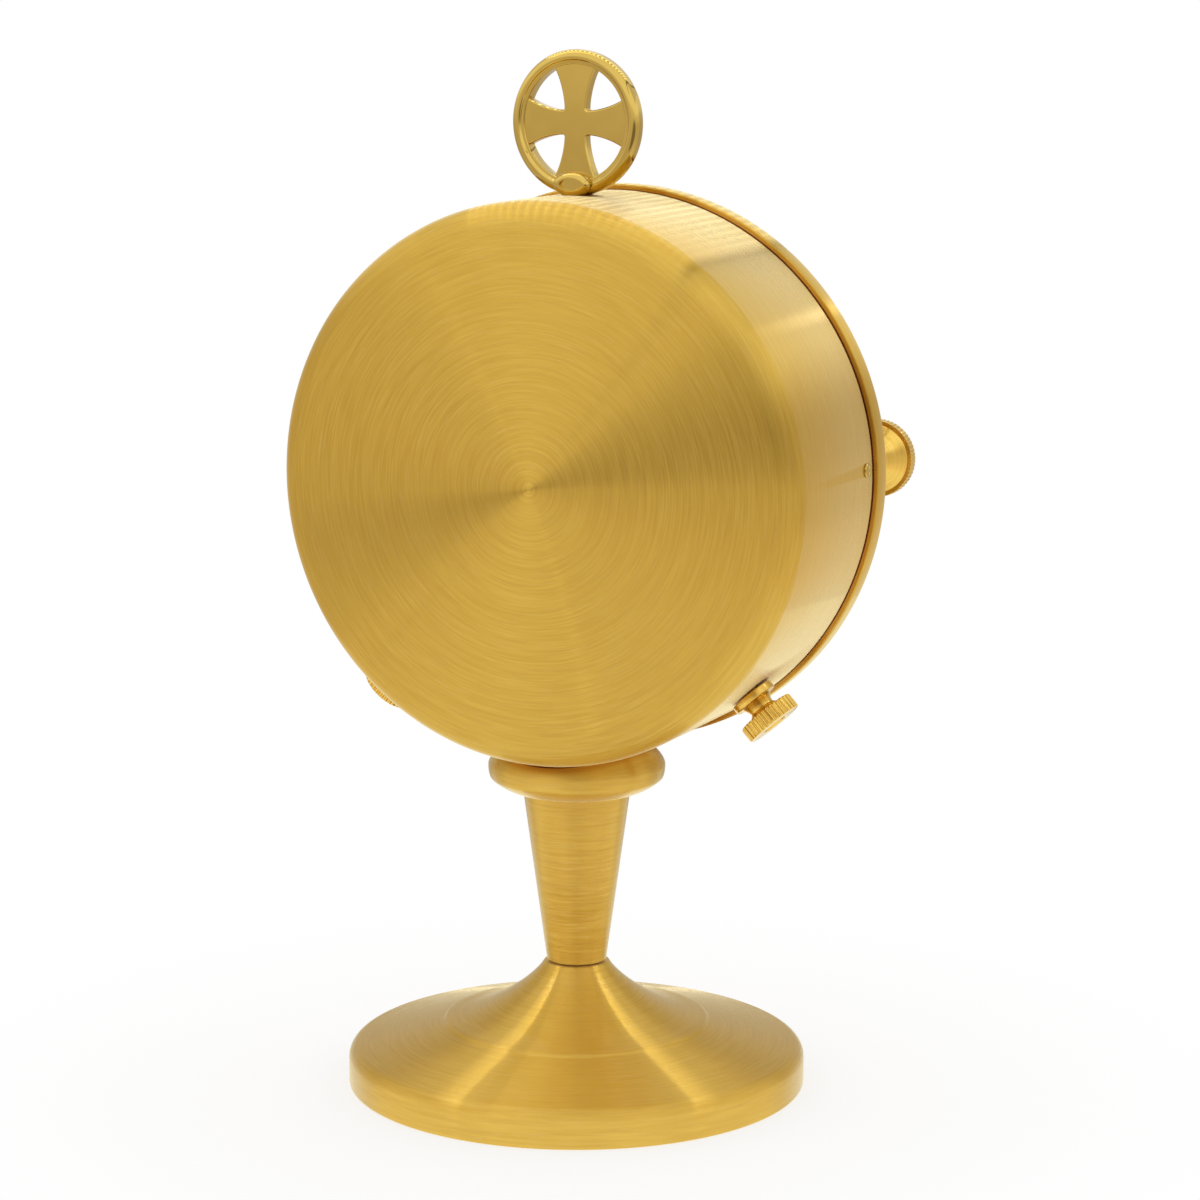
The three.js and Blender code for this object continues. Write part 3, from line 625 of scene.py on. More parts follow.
def makeFasteners():
    bolt = turnedPiece("case_bolt", boltSteel, boltSizes["head"])
    width, bottom = boltSizes["slot"]
    reach, top = boltSizes["slotReach"]
    change(bolt, "DIFFERENCE", boxTool((-reach, -width / 2, bottom), (reach, width / 2, top)))
    radius, threadTop = boltSizes["radius"], boltSizes["threadTop"]
    shank = rod(radius, threadTop, boltSizes["seat"] + boltSizes["headOverlap"])
    thread = threadedRod(
        radius, boltSizes["pitch"], boltSizes["end"], threadTop + boltSizes["threadOverlap"],
    )
    change(bolt, "UNION", shank, thread)
    dress(bolt, "case", "inner_steel", "tie_bolt")
    washer = turnedPiece("nut_washer", boltSteel, washerSizes["foot"], closed=True)
    dress(washer, "case", "inner_steel", "foot_washer")
    nut = hexagonPiece(
        "bolt_nut", boltSteel, washerSizes["nutFlats"], washerSizes["nutHeight"],
        washerSizes["bore"], standingOn("foot_nut"),
    )
    dress(nut, "case", "inner_steel", "foot_nut")
    inner, outer = washerSizes["saddleShell"]
    saddle = rod(outer, *washerSizes["saddleEnds"], backward, drumSizes["steps"], inner)
    saddle.name = "curved_washer"
    change(saddle, "INTERSECT", rod(
        washerSizes["saddleRadius"], *washerSizes["saddleHeights"], hole=washerSizes["bore"],
    ))
    soften(saddle, washerSizes["saddleRounding"])
    repaint(saddle, standGold)
    dress(saddle, "case", "turned_gold", "saddle_washer")


# Case
pinShift = -13.8         # of the catch pin along the case's axis
drumSizes = {
    "corners": [
        (0, 19.4, 0), (49.9, 19.4, 3.8), (49.9, -17.05, 0.1), (50.8, -17.05, 0.15),
        (50.8, 20.6, 4.7), (0, 20.6, 0),
    ],
    "steps": 360,
    "holes": [               # radius, angle, shift
        (2.65, 90, 0), (1.65, -90, 0), (2.15, screwAngles["right"], 0),
        (2.15, screwAngles["left"], 0), (1.05, latchAngle, pinShift),
    ],
    "holeEnds": (46, 54),
}
doorSizes = {
    "corners": [
        (0, -22.55, 0), (51.8, -22.55, 1.3), (51.8, -17.7, 0.35), (49.2, -17.7, 0.1),
        (49.2, -15.1, 0.15), (48.4, -15.1, 0.15), (48.4, -21.35, 0.8), (0, -21.35, 0),
    ],
    "steps": 360,
    "hole": (2.05, -24, -19),    # radius and ends
}
pinSizes = {
    "corners": [
        (0, 48.9, 0), (0.9, 48.9, 0.15), (0.9, 50.9, 0), (1.3, 50.9, 0), (1.3, 51.36, 0.2),
        (0.9, 51.36, 0.16), (0.8, 51.1, 0.08), (0.45, 51.24, 0.1), (0, 51.28, 0),
    ],
    "steps": 64,
}


def radialPlace(angleBelow, shift=0):
    return (
        Matrix.Translation(caseCentre + Vector((0, shift * mm, 0)))
        @ Matrix.Rotation(math.radians(90 + angleBelow), 4, "Y")
    )


def makeCase():
    drum = turnedPiece(
        "drum_shell", caseGold, drumSizes["corners"], backward, steps=drumSizes["steps"],
    )
    change(drum, "DIFFERENCE", *(
        rod(radius, *drumSizes["holeEnds"], radialPlace(angle, shift))
        for radius, angle, shift in drumSizes["holes"]
    ))
    dress(drum, "case", "satin_gold", "drum")
    pin = turnedPiece(
        "catch_rivet", finialGold, pinSizes["corners"], radialPlace(latchAngle, pinShift),
        steps=pinSizes["steps"],
    )
    dress(pin, "case", "polished_gold", "catch_pin")


def makeDoor():
    door = turnedPiece(
        "door_pan", caseGold, doorSizes["corners"], backward, steps=doorSizes["steps"],
    )
    change(door, "DIFFERENCE", rod(*doorSizes["hole"], Matrix.Translation(latchCentre) @ alongY))
    dress(door, "front_door", "satin_gold", "door")


# Hinge
hingeSizes = {
    "barrel": 1.4,
    "pin": 0.65,
    "length": 16,
    "middle": 5.2,
    "gap": 0.3,
    "leaf": 0.8,             # thickness
    "drumLeaf": (51.1, -15.6, -7.2),     # inner radius, front, back
    "doorLeaf": (52.1, -22.2, -19.2),
    "head": 0.95,
    "headLength": 0.6,
    "play": 0.15,            # of the pin in its knuckles
    "steps": 48,
    "leafSteps": 40,
    "neckOnBarrel": (0.55, 0.6, 0.75),       # shares of its radius
    "caseNeck": (0.2, 2.4, -0.1),        # depth in the leaf, and ends from its front
    "doorNeck": (0.1, -1.6, 0.1),        # the same, from its back
}


def curvedLeaf(radius, front, back):
    spread = math.asin(hingeSizes["length"] / 2 / radius)
    outer = radius + hingeSizes["leaf"]
    bm = bmesh.new()
    newLine(bm, [(radius, front, 0), (outer, front, 0.2), (outer, back, 0.2), (radius, back, 0)], True)
    bmesh.ops.rotate(bm, cent=(0, 0, 0), matrix=Matrix.Rotation(-spread, 3, "Z"), verts=bm.verts)
    bmesh.ops.spin(
        bm, geom=bm.verts[:] + bm.edges[:], cent=(0, 0, 0), axis=(0, 0, 1), dvec=(0, 0, 0),
        angle=2 * spread, steps=hingeSizes["leafSteps"],
    )
    bmesh.ops.holes_fill(bm, edges=[edge for edge in bm.edges if edge.is_boundary], sides=0)
    return finishPiece(bm, "leaf", hingeGold, backward)


def knuckle(low, high):
    barrel, bore = hingeSizes["barrel"], hingeSizes["pin"] + hingeSizes["play"]
    return turnedPiece(
        "knuckle", hingeGold,
        [(bore, low, 0.1), (barrel, low, 0.15), (barrel, high, 0.15), (bore, high, 0.1)],
        Matrix.Translation(hingeCentre), True, hingeSizes["steps"],
    )


# The neck that carries a knuckle from its leaf; its corners are in X and Y
def hingeNeck(corners, low, high):
    bm = plateMesh([(x, y, 0) for x, y in corners], low, high)
    return finishPiece(bm, "neck", hingeGold, Matrix.Translation((0, 0, hingeCentre.z)))


def makeHinge():
    x, y = hingeCentre.x / mm, hingeCentre.y / mm
    barrel, half = hingeSizes["barrel"], hingeSizes["middle"] / 2
    near, far = half + hingeSizes["gap"], hingeSizes["length"] / 2
    aside, shoulder, crown = (share * barrel for share in hingeSizes["neckOnBarrel"])
    radius, front, back = hingeSizes["drumLeaf"]
    depth, start, end = hingeSizes["caseNeck"]
    caseNeck = [
        (radius + depth, front + start), (radius + depth, front + end),
        (x - aside, y + shoulder), (x, y + crown),
    ]
    caseLeaf = curvedLeaf(radius, front, back)
    caseLeaf.name = "case_leaf"
    change(
        caseLeaf, "UNION", hingeNeck(caseNeck, near, far), hingeNeck(caseNeck, -far, -near),
        knuckle(near, far), knuckle(-far, -near),
    )
    dress(caseLeaf, "case", "satin_gold", "case_hinge_leaf")
    radius, front, back = hingeSizes["doorLeaf"]
    depth, start, end = hingeSizes["doorNeck"]
    doorNeck = [
        (radius + depth, back + start), (x, y - crown), (x - aside, y - shoulder),
        (radius + depth, back + end),
    ]
    doorLeaf = curvedLeaf(radius, front, back)
    doorLeaf.name = "door_leaf"
    change(doorLeaf, "UNION", hingeNeck(doorNeck, -half, half), knuckle(-half, half))
    dress(doorLeaf, "front_door", "satin_gold", "door_hinge_leaf")
    end = far + hingeSizes["gap"]
    tip = end + hingeSizes["headLength"]
    pin, head = hingeSizes["pin"], hingeSizes["head"]
    hingePin = turnedPiece("door_pin", hingeGold, [
        (0, -tip, 0), (head, -tip, 0.3), (head, -end, 0.1), (pin, -end, 0),
        (pin, end, 0), (head, end, 0.1), (head, tip, 0.3), (0, tip, 0),
    ], Matrix.Translation(hingeCentre), steps=hingeSizes["steps"])
    dress(hingePin, "case", "turned_gold", "hinge_pin")


# Finial: a ring with a cross and a small domed base, cast in one
finialSizes = {
    "centre": 177.6,
    "turn": -4.95,
    "steps": 192,
    "segments": 12,
    "ring": [                # half of the ring's section, from its inner edge
        (10.35, 1.25, 0.2), (11.0, 1.25, 0.1), (11.3, 1.58, 0.2), (12.25, 1.58, 0.5),
        (12.96, 0.95, 0.45),
    ],
    "crossHalf": 1.05,
    "crossRound": 0.32,
    "crossSegments": 3,
    "waist": 2.2,
    "waistRound": 0.35,
    "spread": 5.0,
    "armBend": (2.25, 6.3, 3.7),
    "armEnd": 10.9,
    "base": (3.75, 2.3, -10.95),     # half width, half height and height of an oval's middle
    "baseHalf": 2.9,
    "baseRound": 1.1,
    "baseSegments": 8,
    "panel": (2.2, 1.0, -10.95),
    "panelDepth": 0.5,
    "panelTool": 3,          # height of the tool that cuts it
    "ovalSteps": 48,
    "underside": 50.85,
    "outlineSegments": 8,
    "crease": 15,
    "stud": (1.5, 0.5, 158.4, 166.5),    # radius, pitch, ends
    "nutFlats": 5.5,
    "nutHeight": 2.4,
    "nutBore": 1.65,
}
restSizes = {
    "corners": [
        (0, 41.4, 0), (4.0, 41.4, 0.3), (4.0, 46.9, 0.6), (1.65, 46.9, 0.15), (1.65, 44.2, 0),
        (0, 44.2, 0),
    ],
    "groove": (1.6, 4.6),    # depth and width of the V for the luna's rim
    "grooveReach": 9,
    "grooveMouth": 1.5,      # of the cutting wedge, times the V
    "grooveRounding": 0.12,
}


def crossCorners():
    waist, spread, end = finialSizes["waist"], finialSizes["spread"], finialSizes["armEnd"]
    bendX, bendY, bend = finialSizes["armBend"]
    arm = [
        (waist, waist, finialSizes["waistRound"]), (bendX, bendY, bend), (spread, end, 0),
        (-spread, end, 0), (-bendX, bendY, bend),
    ]
    corners = []
    for c, s in ((1, 0), (0, 1), (-1, 0), (0, -1)):
        corners += [(x * c - y * s, x * s + y * c, rounding) for x, y, rounding in arm]
    return corners


def oval(across, up, middle):
    steps = finialSizes["ovalSteps"]
    angles = [math.tau * step / steps for step in range(steps)]
    return [(across * math.cos(a), middle + up * math.sin(a), 0) for a in angles]


def bevelledPlate(name, corners, half, rounding, place, segments):
    bm = plateMesh(corners, -half, half, finialSizes["outlineSegments"])
    rims = [edge for edge in bm.edges if abs(edge.verts[0].co.z - edge.verts[1].co.z) < half * mm]
    bmesh.ops.bevel(
        bm, geom=rims, offset=rounding * mm, offset_type="OFFSET", affect="EDGES",
        segments=segments, profile=0.5, material=-1, clamp_overlap=True,
    )
    return finishPiece(bm, name, finialGold, place)


def makeFinial():
    place = (
        Matrix.Translation((0, 0, finialSizes["centre"] * mm))
        @ Matrix.Rotation(math.radians(finialSizes["turn"]), 4, "Z")
        @ Matrix.Rotation(math.radians(90), 4, "X")
    )
    half = finialSizes["ring"]
    section = half + [(radius, -height, rounding) for radius, height, rounding in reversed(half)]
    finial = turnedPiece(
        "cross_finial", finialGold, section, place, True, finialSizes["steps"],
        finialSizes["segments"],
    )
    cross = bevelledPlate(
        "cross", crossCorners(), finialSizes["crossHalf"], finialSizes["crossRound"], place,
        finialSizes["crossSegments"],
    )
    base = bevelledPlate(
        "base", oval(*finialSizes["base"]), finialSizes["baseHalf"], finialSizes["baseRound"], place,
        finialSizes["baseSegments"],
    )
    depth = finialSizes["baseHalf"] - finialSizes["panelDepth"]
    for side in (1, -1):
        panel = plateMesh(oval(*finialSizes["panel"]), depth, depth + finialSizes["panelTool"])
        if side < 0:
            bmesh.ops.transform(panel, matrix=Matrix.Rotation(math.pi, 4, "Y"), verts=panel.verts)
        change(base, "DIFFERENCE", finishPiece(panel, "panel", finialGold, place))
    stud = threadedRod(*finialSizes["stud"])
    change(finial, "UNION", cross, base)
    underside = rod(finialSizes["underside"], *throughPiece, backward, drumSizes["steps"])
    change(finial, "DIFFERENCE", underside)
    change(finial, "UNION", stud)
    repaint(finial, finialGold)
    shade(finial, finialSizes["crease"])
    dress(finial, "case", "polished_gold", "finial")
    nut = hexagonPiece(
        "stud_nut", topGold, finialSizes["nutFlats"], finialSizes["nutHeight"],
        finialSizes["nutBore"], standingOn("finial_nut"),
    )
    dress(nut, "case", "turned_gold", "finial_nut")
    rest = turnedPiece("top_groove", topGold, restSizes["corners"], radialPlace(-90))
    cutGroove(rest, restSizes["corners"][0][1], radialPlace(-90))
    dress(rest, "case", "turned_gold", "top_rest")


# A V across the inner end of a rest or shoe, for the luna's rim
def cutGroove(piece, inner, place):
    depth, width = restSizes["groove"]
    reach, mouth = restSizes["grooveReach"], restSizes["grooveMouth"]
    bottom, half = inner + depth, mouth * width / 2
    low = bottom - mouth * depth
    wedge = plateMesh([(0, bottom, 0), (half, low, 0), (-half, low, 0)], -reach, reach)
    turn = Matrix.Rotation(math.radians(90), 4, "X") @ Matrix.Rotation(math.radians(90), 4, "Y")
    change(piece, "DIFFERENCE", finishPiece(wedge, "wedge", caseGold, place @ turn))
    soften(piece, restSizes["grooveRounding"])


# Latch
latchSizes = {
    "shaft": [
        (0, -31.3, 0), (6.5, -31.3, 0), (6.3, -30.85, 0.1), (4.3, -29.6, 1.5), (2.8, -27.6, 1.5),
        (2.6, -25.2, 0.6), (3.0, -24.25, 0), (3.9, -24.25, 0.3), (3.9, -22.85, 0.3),
        (1.2, -22.85, 0), (1.2, -12.8, 0), (0.75, -12.8, 0), (0.75, -9.3, 0.2), (0, -9.3, 0),
    ],
    "disc": [
        (0, -33.0, 0), (5.2, -33.25, 0.5), (7.2, -33.25, 0.35), (7.2, -30.95, 0.15),
        (6.3, -30.95, 0.15), (2.4, -31.2, 0), (0, -31.2, 0),
    ],
    "discSteps": 192,
    "flutes": {"radius": 7.31, "width": 0.56, "count": 60, "ends": (-34, -30)},
    "square": 1.6,
    "squareClearance": 0.1,
    "driveEnds": (-12.8, -11.1),
    "bush": [(1.35, -22.25, 0.1), (1.9, -22.25, 0.2), (1.9, -12.8, 0.2), (1.35, -12.8, 0.1)],
    "hub": 2.15,
    "camEnds": (-12.5, -11.3),
    "camRounding": 0.1,
    "tongue": [
        (-1.3, 0, 0), (1.3, 0, 0), (1.3, 3.05, 0.2), (0.72, 3.4, 0.2), (-0.72, 3.4, 0.2),
        (-1.3, 3.05, 0.2),
    ],
    "nut": (3.2, 1.3, 0.9),      # flats, height, bore
}


def makeLatch():
    axisPlace = Matrix.Translation(latchCentre) @ alongY
    armPlace = Matrix.Translation(latchCentre) @ Matrix.Rotation(math.radians(latchAngle), 4, "Y")
    knob = turnedPiece(
        "latch_handle", knobGold, latchSizes["disc"], axisPlace, steps=latchSizes["discSteps"],
    )
    cutFlutes(knob, latchSizes["flutes"], axisPlace)
    shaft = turnedPiece("shaft", knobGold, latchSizes["shaft"], axisPlace)
    half = latchSizes["square"] / 2
    start, end = latchSizes["driveEnds"]
    drive = boxTool((-half, start, -half), (half, end, half), armPlace)
    change(knob, "UNION", shaft, drive)
    repaint(knob, knobGold)
    dress(knob, "latch", "turned_gold", "latch_knob")
    bush = turnedPiece("latch_sleeve", knobGold, latchSizes["bush"], axisPlace, True)
    dress(bush, "front_door", "turned_gold", "latch_bush")
    start, end = latchSizes["camEnds"]
    cam = turnedPiece("latch_tongue", knobGold, [
        (0, start, 0), (latchSizes["hub"], start, 0.1), (latchSizes["hub"], end, 0.1), (0, end, 0),
    ], axisPlace)
    outline = [(x, -z, rounding) for x, z, rounding in latchSizes["tongue"]]
    tongue = finishPiece(plateMesh(outline, start, end), "tongue", knobGold, armPlace @ alongY)
    half += latchSizes["squareClearance"]
    change(cam, "UNION", tongue)
    change(cam, "DIFFERENCE", boxTool((-half, start - 1, -half), (half, end + 1, half), armPlace))
    soften(cam, latchSizes["camRounding"])
    dress(cam, "latch", "turned_gold", "latch_cam")
    nut = hexagonPiece(
        "cam_nut", knobGold, *latchSizes["nut"],
        Matrix.Translation(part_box("latch_nut")[0][1] * depthAxis) @ axisPlace,
    )
    dress(nut, "latch", "turned_gold", "latch_nut")


# Clamps: distances outwards are from the case's axis
clampSizes = {
    "screw": [
        (0, 38.02, 0), (1.6, 38.02, 0.15), (1.6, 38.72, 0.15), (1.0, 38.72, 0), (1.0, 40.22, 0),
        (1.7, 40.22, 0.1), (1.7, 41.0, 0), (0, 41.0, 0),
    ],
    "thread": (2.0, 0.7, 40.5, 51.0),    # radius, pitch, ends
    "collar": [
        (0, 50.9, 0), (1.9, 50.9, 0), (1.9, 51.1, 0), (4.2, 51.1, 0.15), (4.2, 52.6, 0.25),
        (3.35, 52.6, 0.1), (2.35, 53.3, 0.9), (2.35, 54.4, 0.9), (3.5, 55.3, 0.2), (0, 55.3, 0),
    ],
    "head": [
        (0, 55.1, 0), (5.4, 55.1, 0.4), (5.4, 58.0, 0.4), (2.5, 58.0, 0.1), (2.2, 57.6, 0.3),
        (0, 57.25, 0),
    ],
    "headSteps": 144,
    "flutes": {"radius": 5.53, "width": 0.74, "count": 36, "ends": (54, 59)},
    "boss": (3.6, 46.4, 50.8),
    "bossBore": 2.15,
    "bossSteps": 96,
    "bossRounding": 0.2,
    "bowl": 49.6,            # radius of the drum's inside, that the boss fits
    "shoe": [
        (0, 35.32, 0), (4.0, 35.32, 0.3), (4.0, 39.92, 0.6), (1.3, 39.92, 0.1), (1.3, 39.02, 0),
        (1.9, 39.02, 0), (1.9, 37.72, 0), (0, 37.72, 0),
    ],
}


def makeClamp(side, angle):
    place = radialPlace(angle)
    gold = screwGold[side]
    screw = turnedPiece(
        side + "_clamp_screw", gold, clampSizes["head"], place, steps=clampSizes["headSteps"],
    )
    cutFlutes(screw, clampSizes["flutes"], place)
    collar = turnedPiece("collar", gold, clampSizes["collar"], place)
    tip = turnedPiece("tip", gold, clampSizes["screw"], place)
    change(screw, "UNION", collar)
    change(screw, "UNION", threadedRod(*clampSizes["thread"], place))
    change(screw, "UNION", tip)
    repaint(screw, gold)
    dress(screw, side + "_screw", "turned_gold", side + "_thumbscrew")
    boss = rod(*clampSizes["boss"], place, clampSizes["bossSteps"], clampSizes["bossBore"])
    boss.name = side + "_threaded_boss"
    inside = rod(clampSizes["bowl"], *throughPiece, backward, drumSizes["steps"])
    change(boss, "INTERSECT", inside)
    soften(boss, clampSizes["bossRounding"])
    repaint(boss, gold)
    dress(boss, "case", "turned_gold", side + "_screw_boss")
    shoe = turnedPiece(side + "_groove_shoe", gold, clampSizes["shoe"], place)
    cutGroove(shoe, clampSizes["shoe"][0][1], place)
    dress(shoe, side + "_clamp", "turned_gold", side + "_shoe")


makeStand()
makeFasteners()
print("stand made")
makeCase()
makeDoor()
makeHinge()
print("case and door made")
makeFinial()
makeLatch()
for side, angle in screwAngles.items():
    makeClamp(side, angle)
print("finial, latch and clamps made")


# Room: a white light tent that only the metal sees, with a window for the camera and strip
# lamps along its roof
towardsCamera = Vector((cameraView["place"][0], cameraView["place"][1], 0)).normalized()
acrossView = Vector((-towardsCamera.y, towardsCamera.x, 0))     # to the picture's right
tentSizes = {
    "half": 0.17,
    "height": 0.25,
    "brightest": 1.5,
    "front": [               # height on the wall and share of the brightest, towards +Y
        (0.0, 0.77), (0.05, 0.68), (0.085, 0.58), (0.13, 0.54), (0.16, 0.54), (0.19, 0.68),
        (0.215, 0.9),
    ],
    "back": [
        (0.0, 0.42), (0.05, 0.46), (0.085, 0.45), (0.137, 0.43), (0.17, 0.45), (0.19, 0.52),
        (0.215, 0.72),
    ],
    "divide": (-0.08, -0.01),    # where back and front meet, towards the camera
    "lowTint": (1.0, 0.92, 0.84, 1),
    "brightens": (0.165, 0.215),
    "window": (0.075, 0.036, 0.142),   # half width, half height and height of its middle
    "windowFade": (0.6, 1.5),
    "windowGlow": 0.3,
}
# Strip lamps of the roof, side by side along X, and a dark frame where they stop
roofLamps = {
    "first": 0.0893,
    "last": -0.0605,
    "spacing": 0.00638,
    "profile": (0.0, 0.95),      # from a lamp's edge to its middle, as a cosine
    "fade": 0.001,           # beyond the first and the last
    "slant": 0.45,
    "ends": [(0.014, 0.03), (-0.04, -0.13)],     # where they fade in Y
    "glow": 2.4,
    "between": 0.9,          # brightness of the roof between them
    "behind": (0.0, 0.03),       # where that roof ends in Y
    "frame": (-0.0675, 0.0027, 0.0045, 0.7),     # middle, half widths, darkness
}
sideStrips = {
    "across": 0.16,
    "behind": 0.045,
    "height": 0.24,
    "size": (0.1, 0.012),
    "watts": 0.004,
    "spread": 50,
}
floorLook = {
    "size": 12,
    "front": 1.2,            # brightness in the metal, towards +Y and towards -Y
    "back": 1.15,
    "blend": 0.04,
    "shadowShare": 0.3,      # of its own shading that the camera sees by the foot
    "shadow": (0.04, 0.14),
}


def addLamp(name, size, watts, place, aim, spread):
    data = bpy.data.lights.new(name, "AREA")
    data.shape = "RECTANGLE"
    data.size, data.size_y = size
    data.energy = watts
    data.spread = math.radians(spread)
    lamp = bpy.data.objects.new(name, data)
    sideways = acrossView.cross(upAxis)
    back = (place - aim).normalized()
    along = (sideways - sideways.dot(back) * back).normalized()
    lamp.matrix_world = Matrix.Translation(place) @ Matrix((
        along, back.cross(along), back,
    )).transposed().to_4x4()
    lamp.visible_camera = False
    bpy.context.scene.collection.objects.link(lamp)


def makeLamps(strips):
    aim = -strips["behind"] * towardsCamera
    for side in (1, -1):
        place = aim + side * strips["across"] * acrossView + strips["height"] * upAxis
        addLamp("side_strip", strips["size"], strips["watts"], place, aim, strips["spread"])


def ramp(tree, value, stops):
    node = addNode(tree, "ShaderNodeValToRGB", {0: value})
    elements = node.color_ramp.elements
    node.color_ramp.interpolation = "EASE"
    while len(elements) < len(stops):
        elements.new(1.0)
    for element, (position, share) in zip(elements, stops):
        element.position = position
        element.color = (share, share, share, 1)
    return node.outputs["Color"]


def lampStripes(tree, x, y, look):
    turns = number(tree, "SUBTRACT", x, look["first"])
    wave = number(tree, "COSINE", number(tree, "MULTIPLY", turns, math.tau / look["spacing"]))
    stripes = mapped(tree, wave, *look["profile"], 0.0, 1.0, True)
    shift = number(tree, "SUBTRACT", y, number(tree, "MULTIPLY", x, look["slant"]))
    for clear, gone in look["ends"]:
        fading = mapped(tree, shift, clear, gone, 1.0, 0.0, True)
        stripes = number(tree, "MULTIPLY", stripes, fading)
    last, first, fade = look["last"], look["first"] + look["spacing"] / 2, look["fade"]
    for edge, outside in ((last, last - fade), (first, first + fade)):
        stripes = number(tree, "MULTIPLY", stripes, mapped(tree, x, outside, edge, 0.0, 1.0))
    return number(tree, "MULTIPLY", stripes, look["glow"])


def tentCloth(sizes):
    material = bpy.data.materials.new("tent_cloth")
    material.use_nodes = True
    tree = material.node_tree
    place = addNode(tree, "ShaderNodeTexCoord").outputs["Object"]
    x, y, height = addNode(tree, "ShaderNodeSeparateXYZ", {0: place}).outputs
    halfWidth, halfHeight, windowMiddle = sizes["window"]

    def coordinate(direction):
        return addNode(
            tree, "ShaderNodeVectorMath", {0: place, 1: direction}, operation="DOT_PRODUCT",
        ).outputs["Value"]

    side = number(tree, "DIVIDE", coordinate(acrossView), halfWidth)
    up = number(tree, "DIVIDE", number(tree, "SUBTRACT", height, windowMiddle), halfHeight)
    spread = number(
        tree, "ADD", number(tree, "MULTIPLY", side, side), number(tree, "MULTIPLY", up, up),
    )
    opening = number(
        tree, "MULTIPLY", mapped(tree, spread, *sizes["windowFade"], 1.0, 0.0, True),
        number(tree, "GREATER_THAN", coordinate(towardsCamera), 0),
    )
    glow = mixedColour(
        tree, mapped(tree, coordinate(towardsCamera), *sizes["divide"], 0.0, 1.0, True),
        ramp(tree, height, sizes["back"]), ramp(tree, height, sizes["front"]),
    )
    strength = number(tree, "MULTIPLY", glow, sizes["brightest"])
    roof = number(tree, "GREATER_THAN", height, sizes["height"] - mm)
    behind = number(
        tree, "MULTIPLY", mapped(tree, y, *roofLamps["behind"], 1.0, 0.0, True), roof,
    )
    strength = addNode(
        tree, "ShaderNodeMix", {0: behind, 2: strength, 3: roofLamps["between"]}, data_type="FLOAT",
    ).outputs[0]
    middle, core, edge, darkness = roofLamps["frame"]
    off = number(tree, "ABSOLUTE", number(tree, "SUBTRACT", x, middle))
    frame = number(tree, "MULTIPLY", mapped(tree, off, core, edge, darkness, 0.0), roof)
    strength = number(tree, "MULTIPLY", strength, number(tree, "SUBTRACT", 1.0, frame))
    lamps = number(tree, "MULTIPLY", lampStripes(tree, x, y, roofLamps), roof)
    strength = number(tree, "ADD", strength, lamps)
    strength = addNode(
        tree, "ShaderNodeMix", {0: opening, 2: strength, 3: sizes["windowGlow"]}, data_type="FLOAT",
    ).outputs[0]
    start, end = sizes["brightens"]
    lit = mapped(tree, height, start, end, 0.0, 1.0, True)
    colour = mixedColour(tree, lit, sizes["lowTint"], (1, 1, 1, 1))
    emission = addNode(tree, "ShaderNodeEmission", {"Color": colour, "Strength": strength})
    tree.nodes.remove(tree.nodes["Principled BSDF"])
    tree.links.new(emission.outputs[0], tree.nodes["Material Output"].inputs["Surface"])
    material.cycles.emission_sampling = "NONE"
    return material


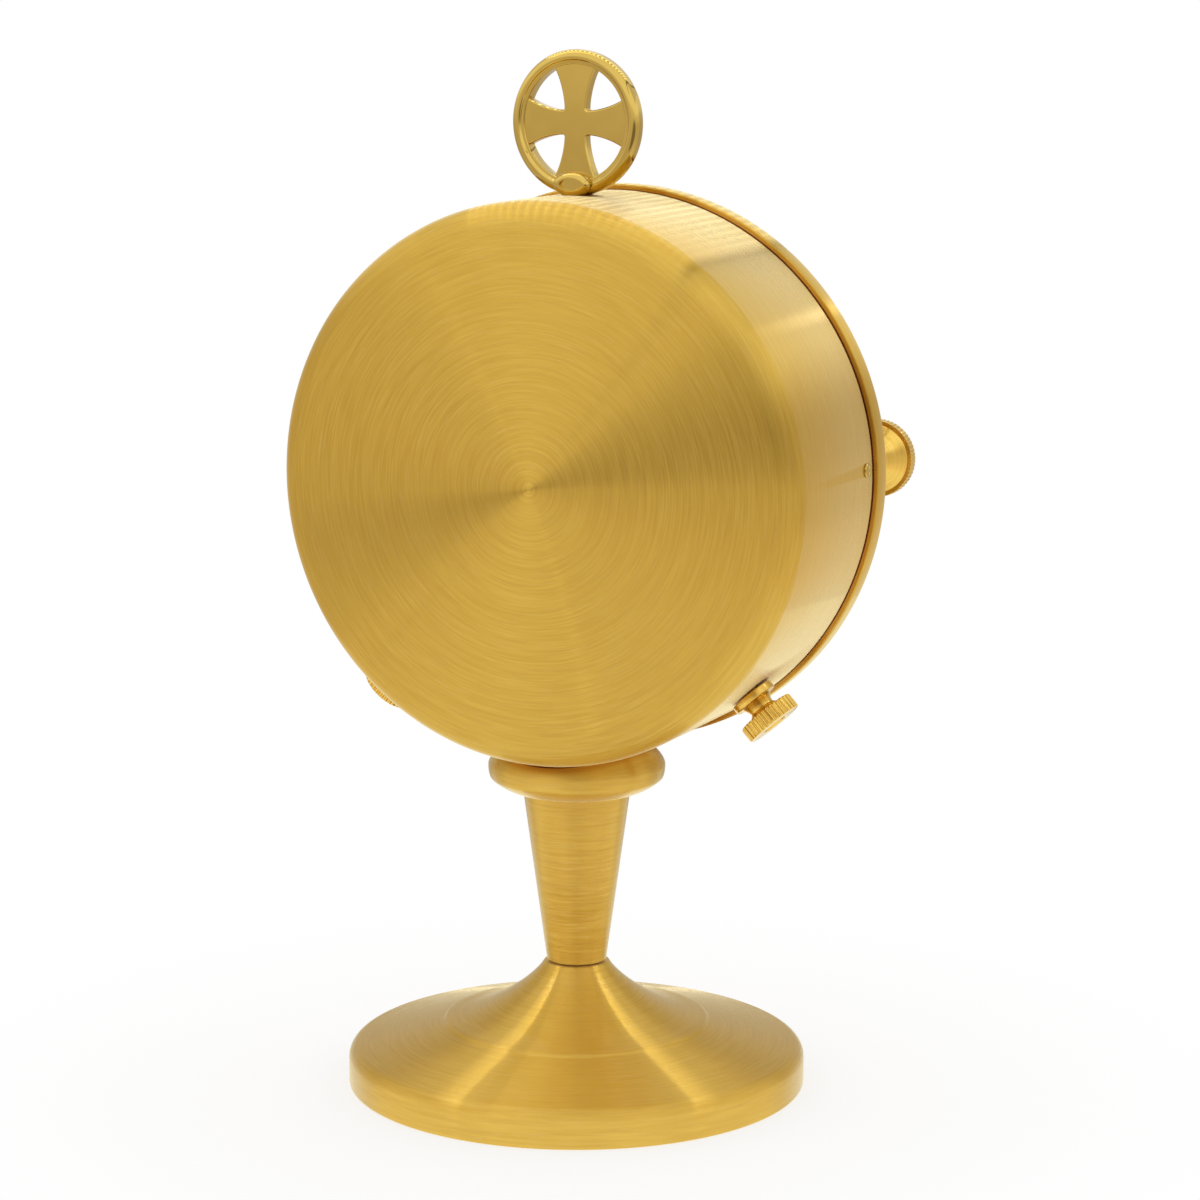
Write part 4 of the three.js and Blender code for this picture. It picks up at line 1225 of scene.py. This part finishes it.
def makeTent(sizes):
    bm = bmesh.new()
    bmesh.ops.create_cube(bm, size=1)
    bottom = min(bm.faces, key=lambda face: face.calc_center_median().z)
    bmesh.ops.delete(bm, geom=[bottom], context="FACES")
    bmesh.ops.scale(bm, vec=(2 * sizes["half"], 2 * sizes["half"], sizes["height"]), verts=bm.verts)
    turn = Matrix.Rotation(math.atan2(towardsCamera.y, towardsCamera.x), 4, "Z")
    tent = finishPiece(
        bm, "light_tent", tentCloth(sizes), Matrix.Translation((0, 0, sizes["height"] / 2)) @ turn,
    )
    tent.visible_camera = False
    tent.visible_diffuse = False
    tent.visible_shadow = False


# White to the camera but for the shadow by the foot; the metal sees lit paper
def floorPaint(look):
    material = bpy.data.materials.new("floor_paint")
    material.use_nodes = True
    tree = material.node_tree
    shader = tree.nodes["Principled BSDF"]
    shader.inputs["Base Color"].default_value = (0.92, 0.92, 0.92, 1)
    shader.inputs["Roughness"].default_value = 0.7
    shader.inputs["Specular IOR Level"].default_value = 0.1
    light = addNode(tree, "ShaderNodeLightPath")
    place = addNode(tree, "ShaderNodeTexCoord").outputs["Object"]
    away = addNode(tree, "ShaderNodeVectorMath", {0: place}, operation="LENGTH").outputs["Value"]
    share = mapped(tree, away, *look["shadow"], look["shadowShare"], 0.0, True)
    y = addNode(tree, "ShaderNodeSeparateXYZ", {0: place}).outputs["Y"]
    glow = mapped(tree, y, -look["blend"], look["blend"], look["back"], look["front"], True)
    white = addNode(tree, "ShaderNodeEmission", {"Strength": 1.0})
    paper = addNode(tree, "ShaderNodeEmission", {"Strength": glow})
    camera = addNode(
        tree, "ShaderNodeMixShader", {0: share, 1: white.outputs[0], 2: shader.outputs[0]},
    )
    glossy = addNode(
        tree, "ShaderNodeMixShader",
        {0: light.outputs["Is Glossy Ray"], 1: shader.outputs[0], 2: paper.outputs[0]},
    )
    final = addNode(
        tree, "ShaderNodeMixShader",
        {0: light.outputs["Is Camera Ray"], 1: glossy.outputs[0], 2: camera.outputs[0]},
    )
    tree.links.new(final.outputs[0], tree.nodes["Material Output"].inputs["Surface"])
    material.cycles.emission_sampling = "NONE"
    return material


def makeRoom(look):
    bm = bmesh.new()
    bmesh.ops.create_grid(bm, x_segments=1, y_segments=1, size=look["size"] / 2)
    floor = finishPiece(bm, "floor", floorPaint(look))
    world = bpy.data.worlds.new("studio")
    bpy.context.scene.world = world
    world.use_nodes = True
    world.node_tree.nodes["Background"].inputs["Color"].default_value = (1, 1, 1, 1)


makeLamps(sideStrips)
makeTent(tentSizes)
makeRoom(floorLook)
bpy.context.scene.view_settings.view_transform = "Standard"
print("room lit")
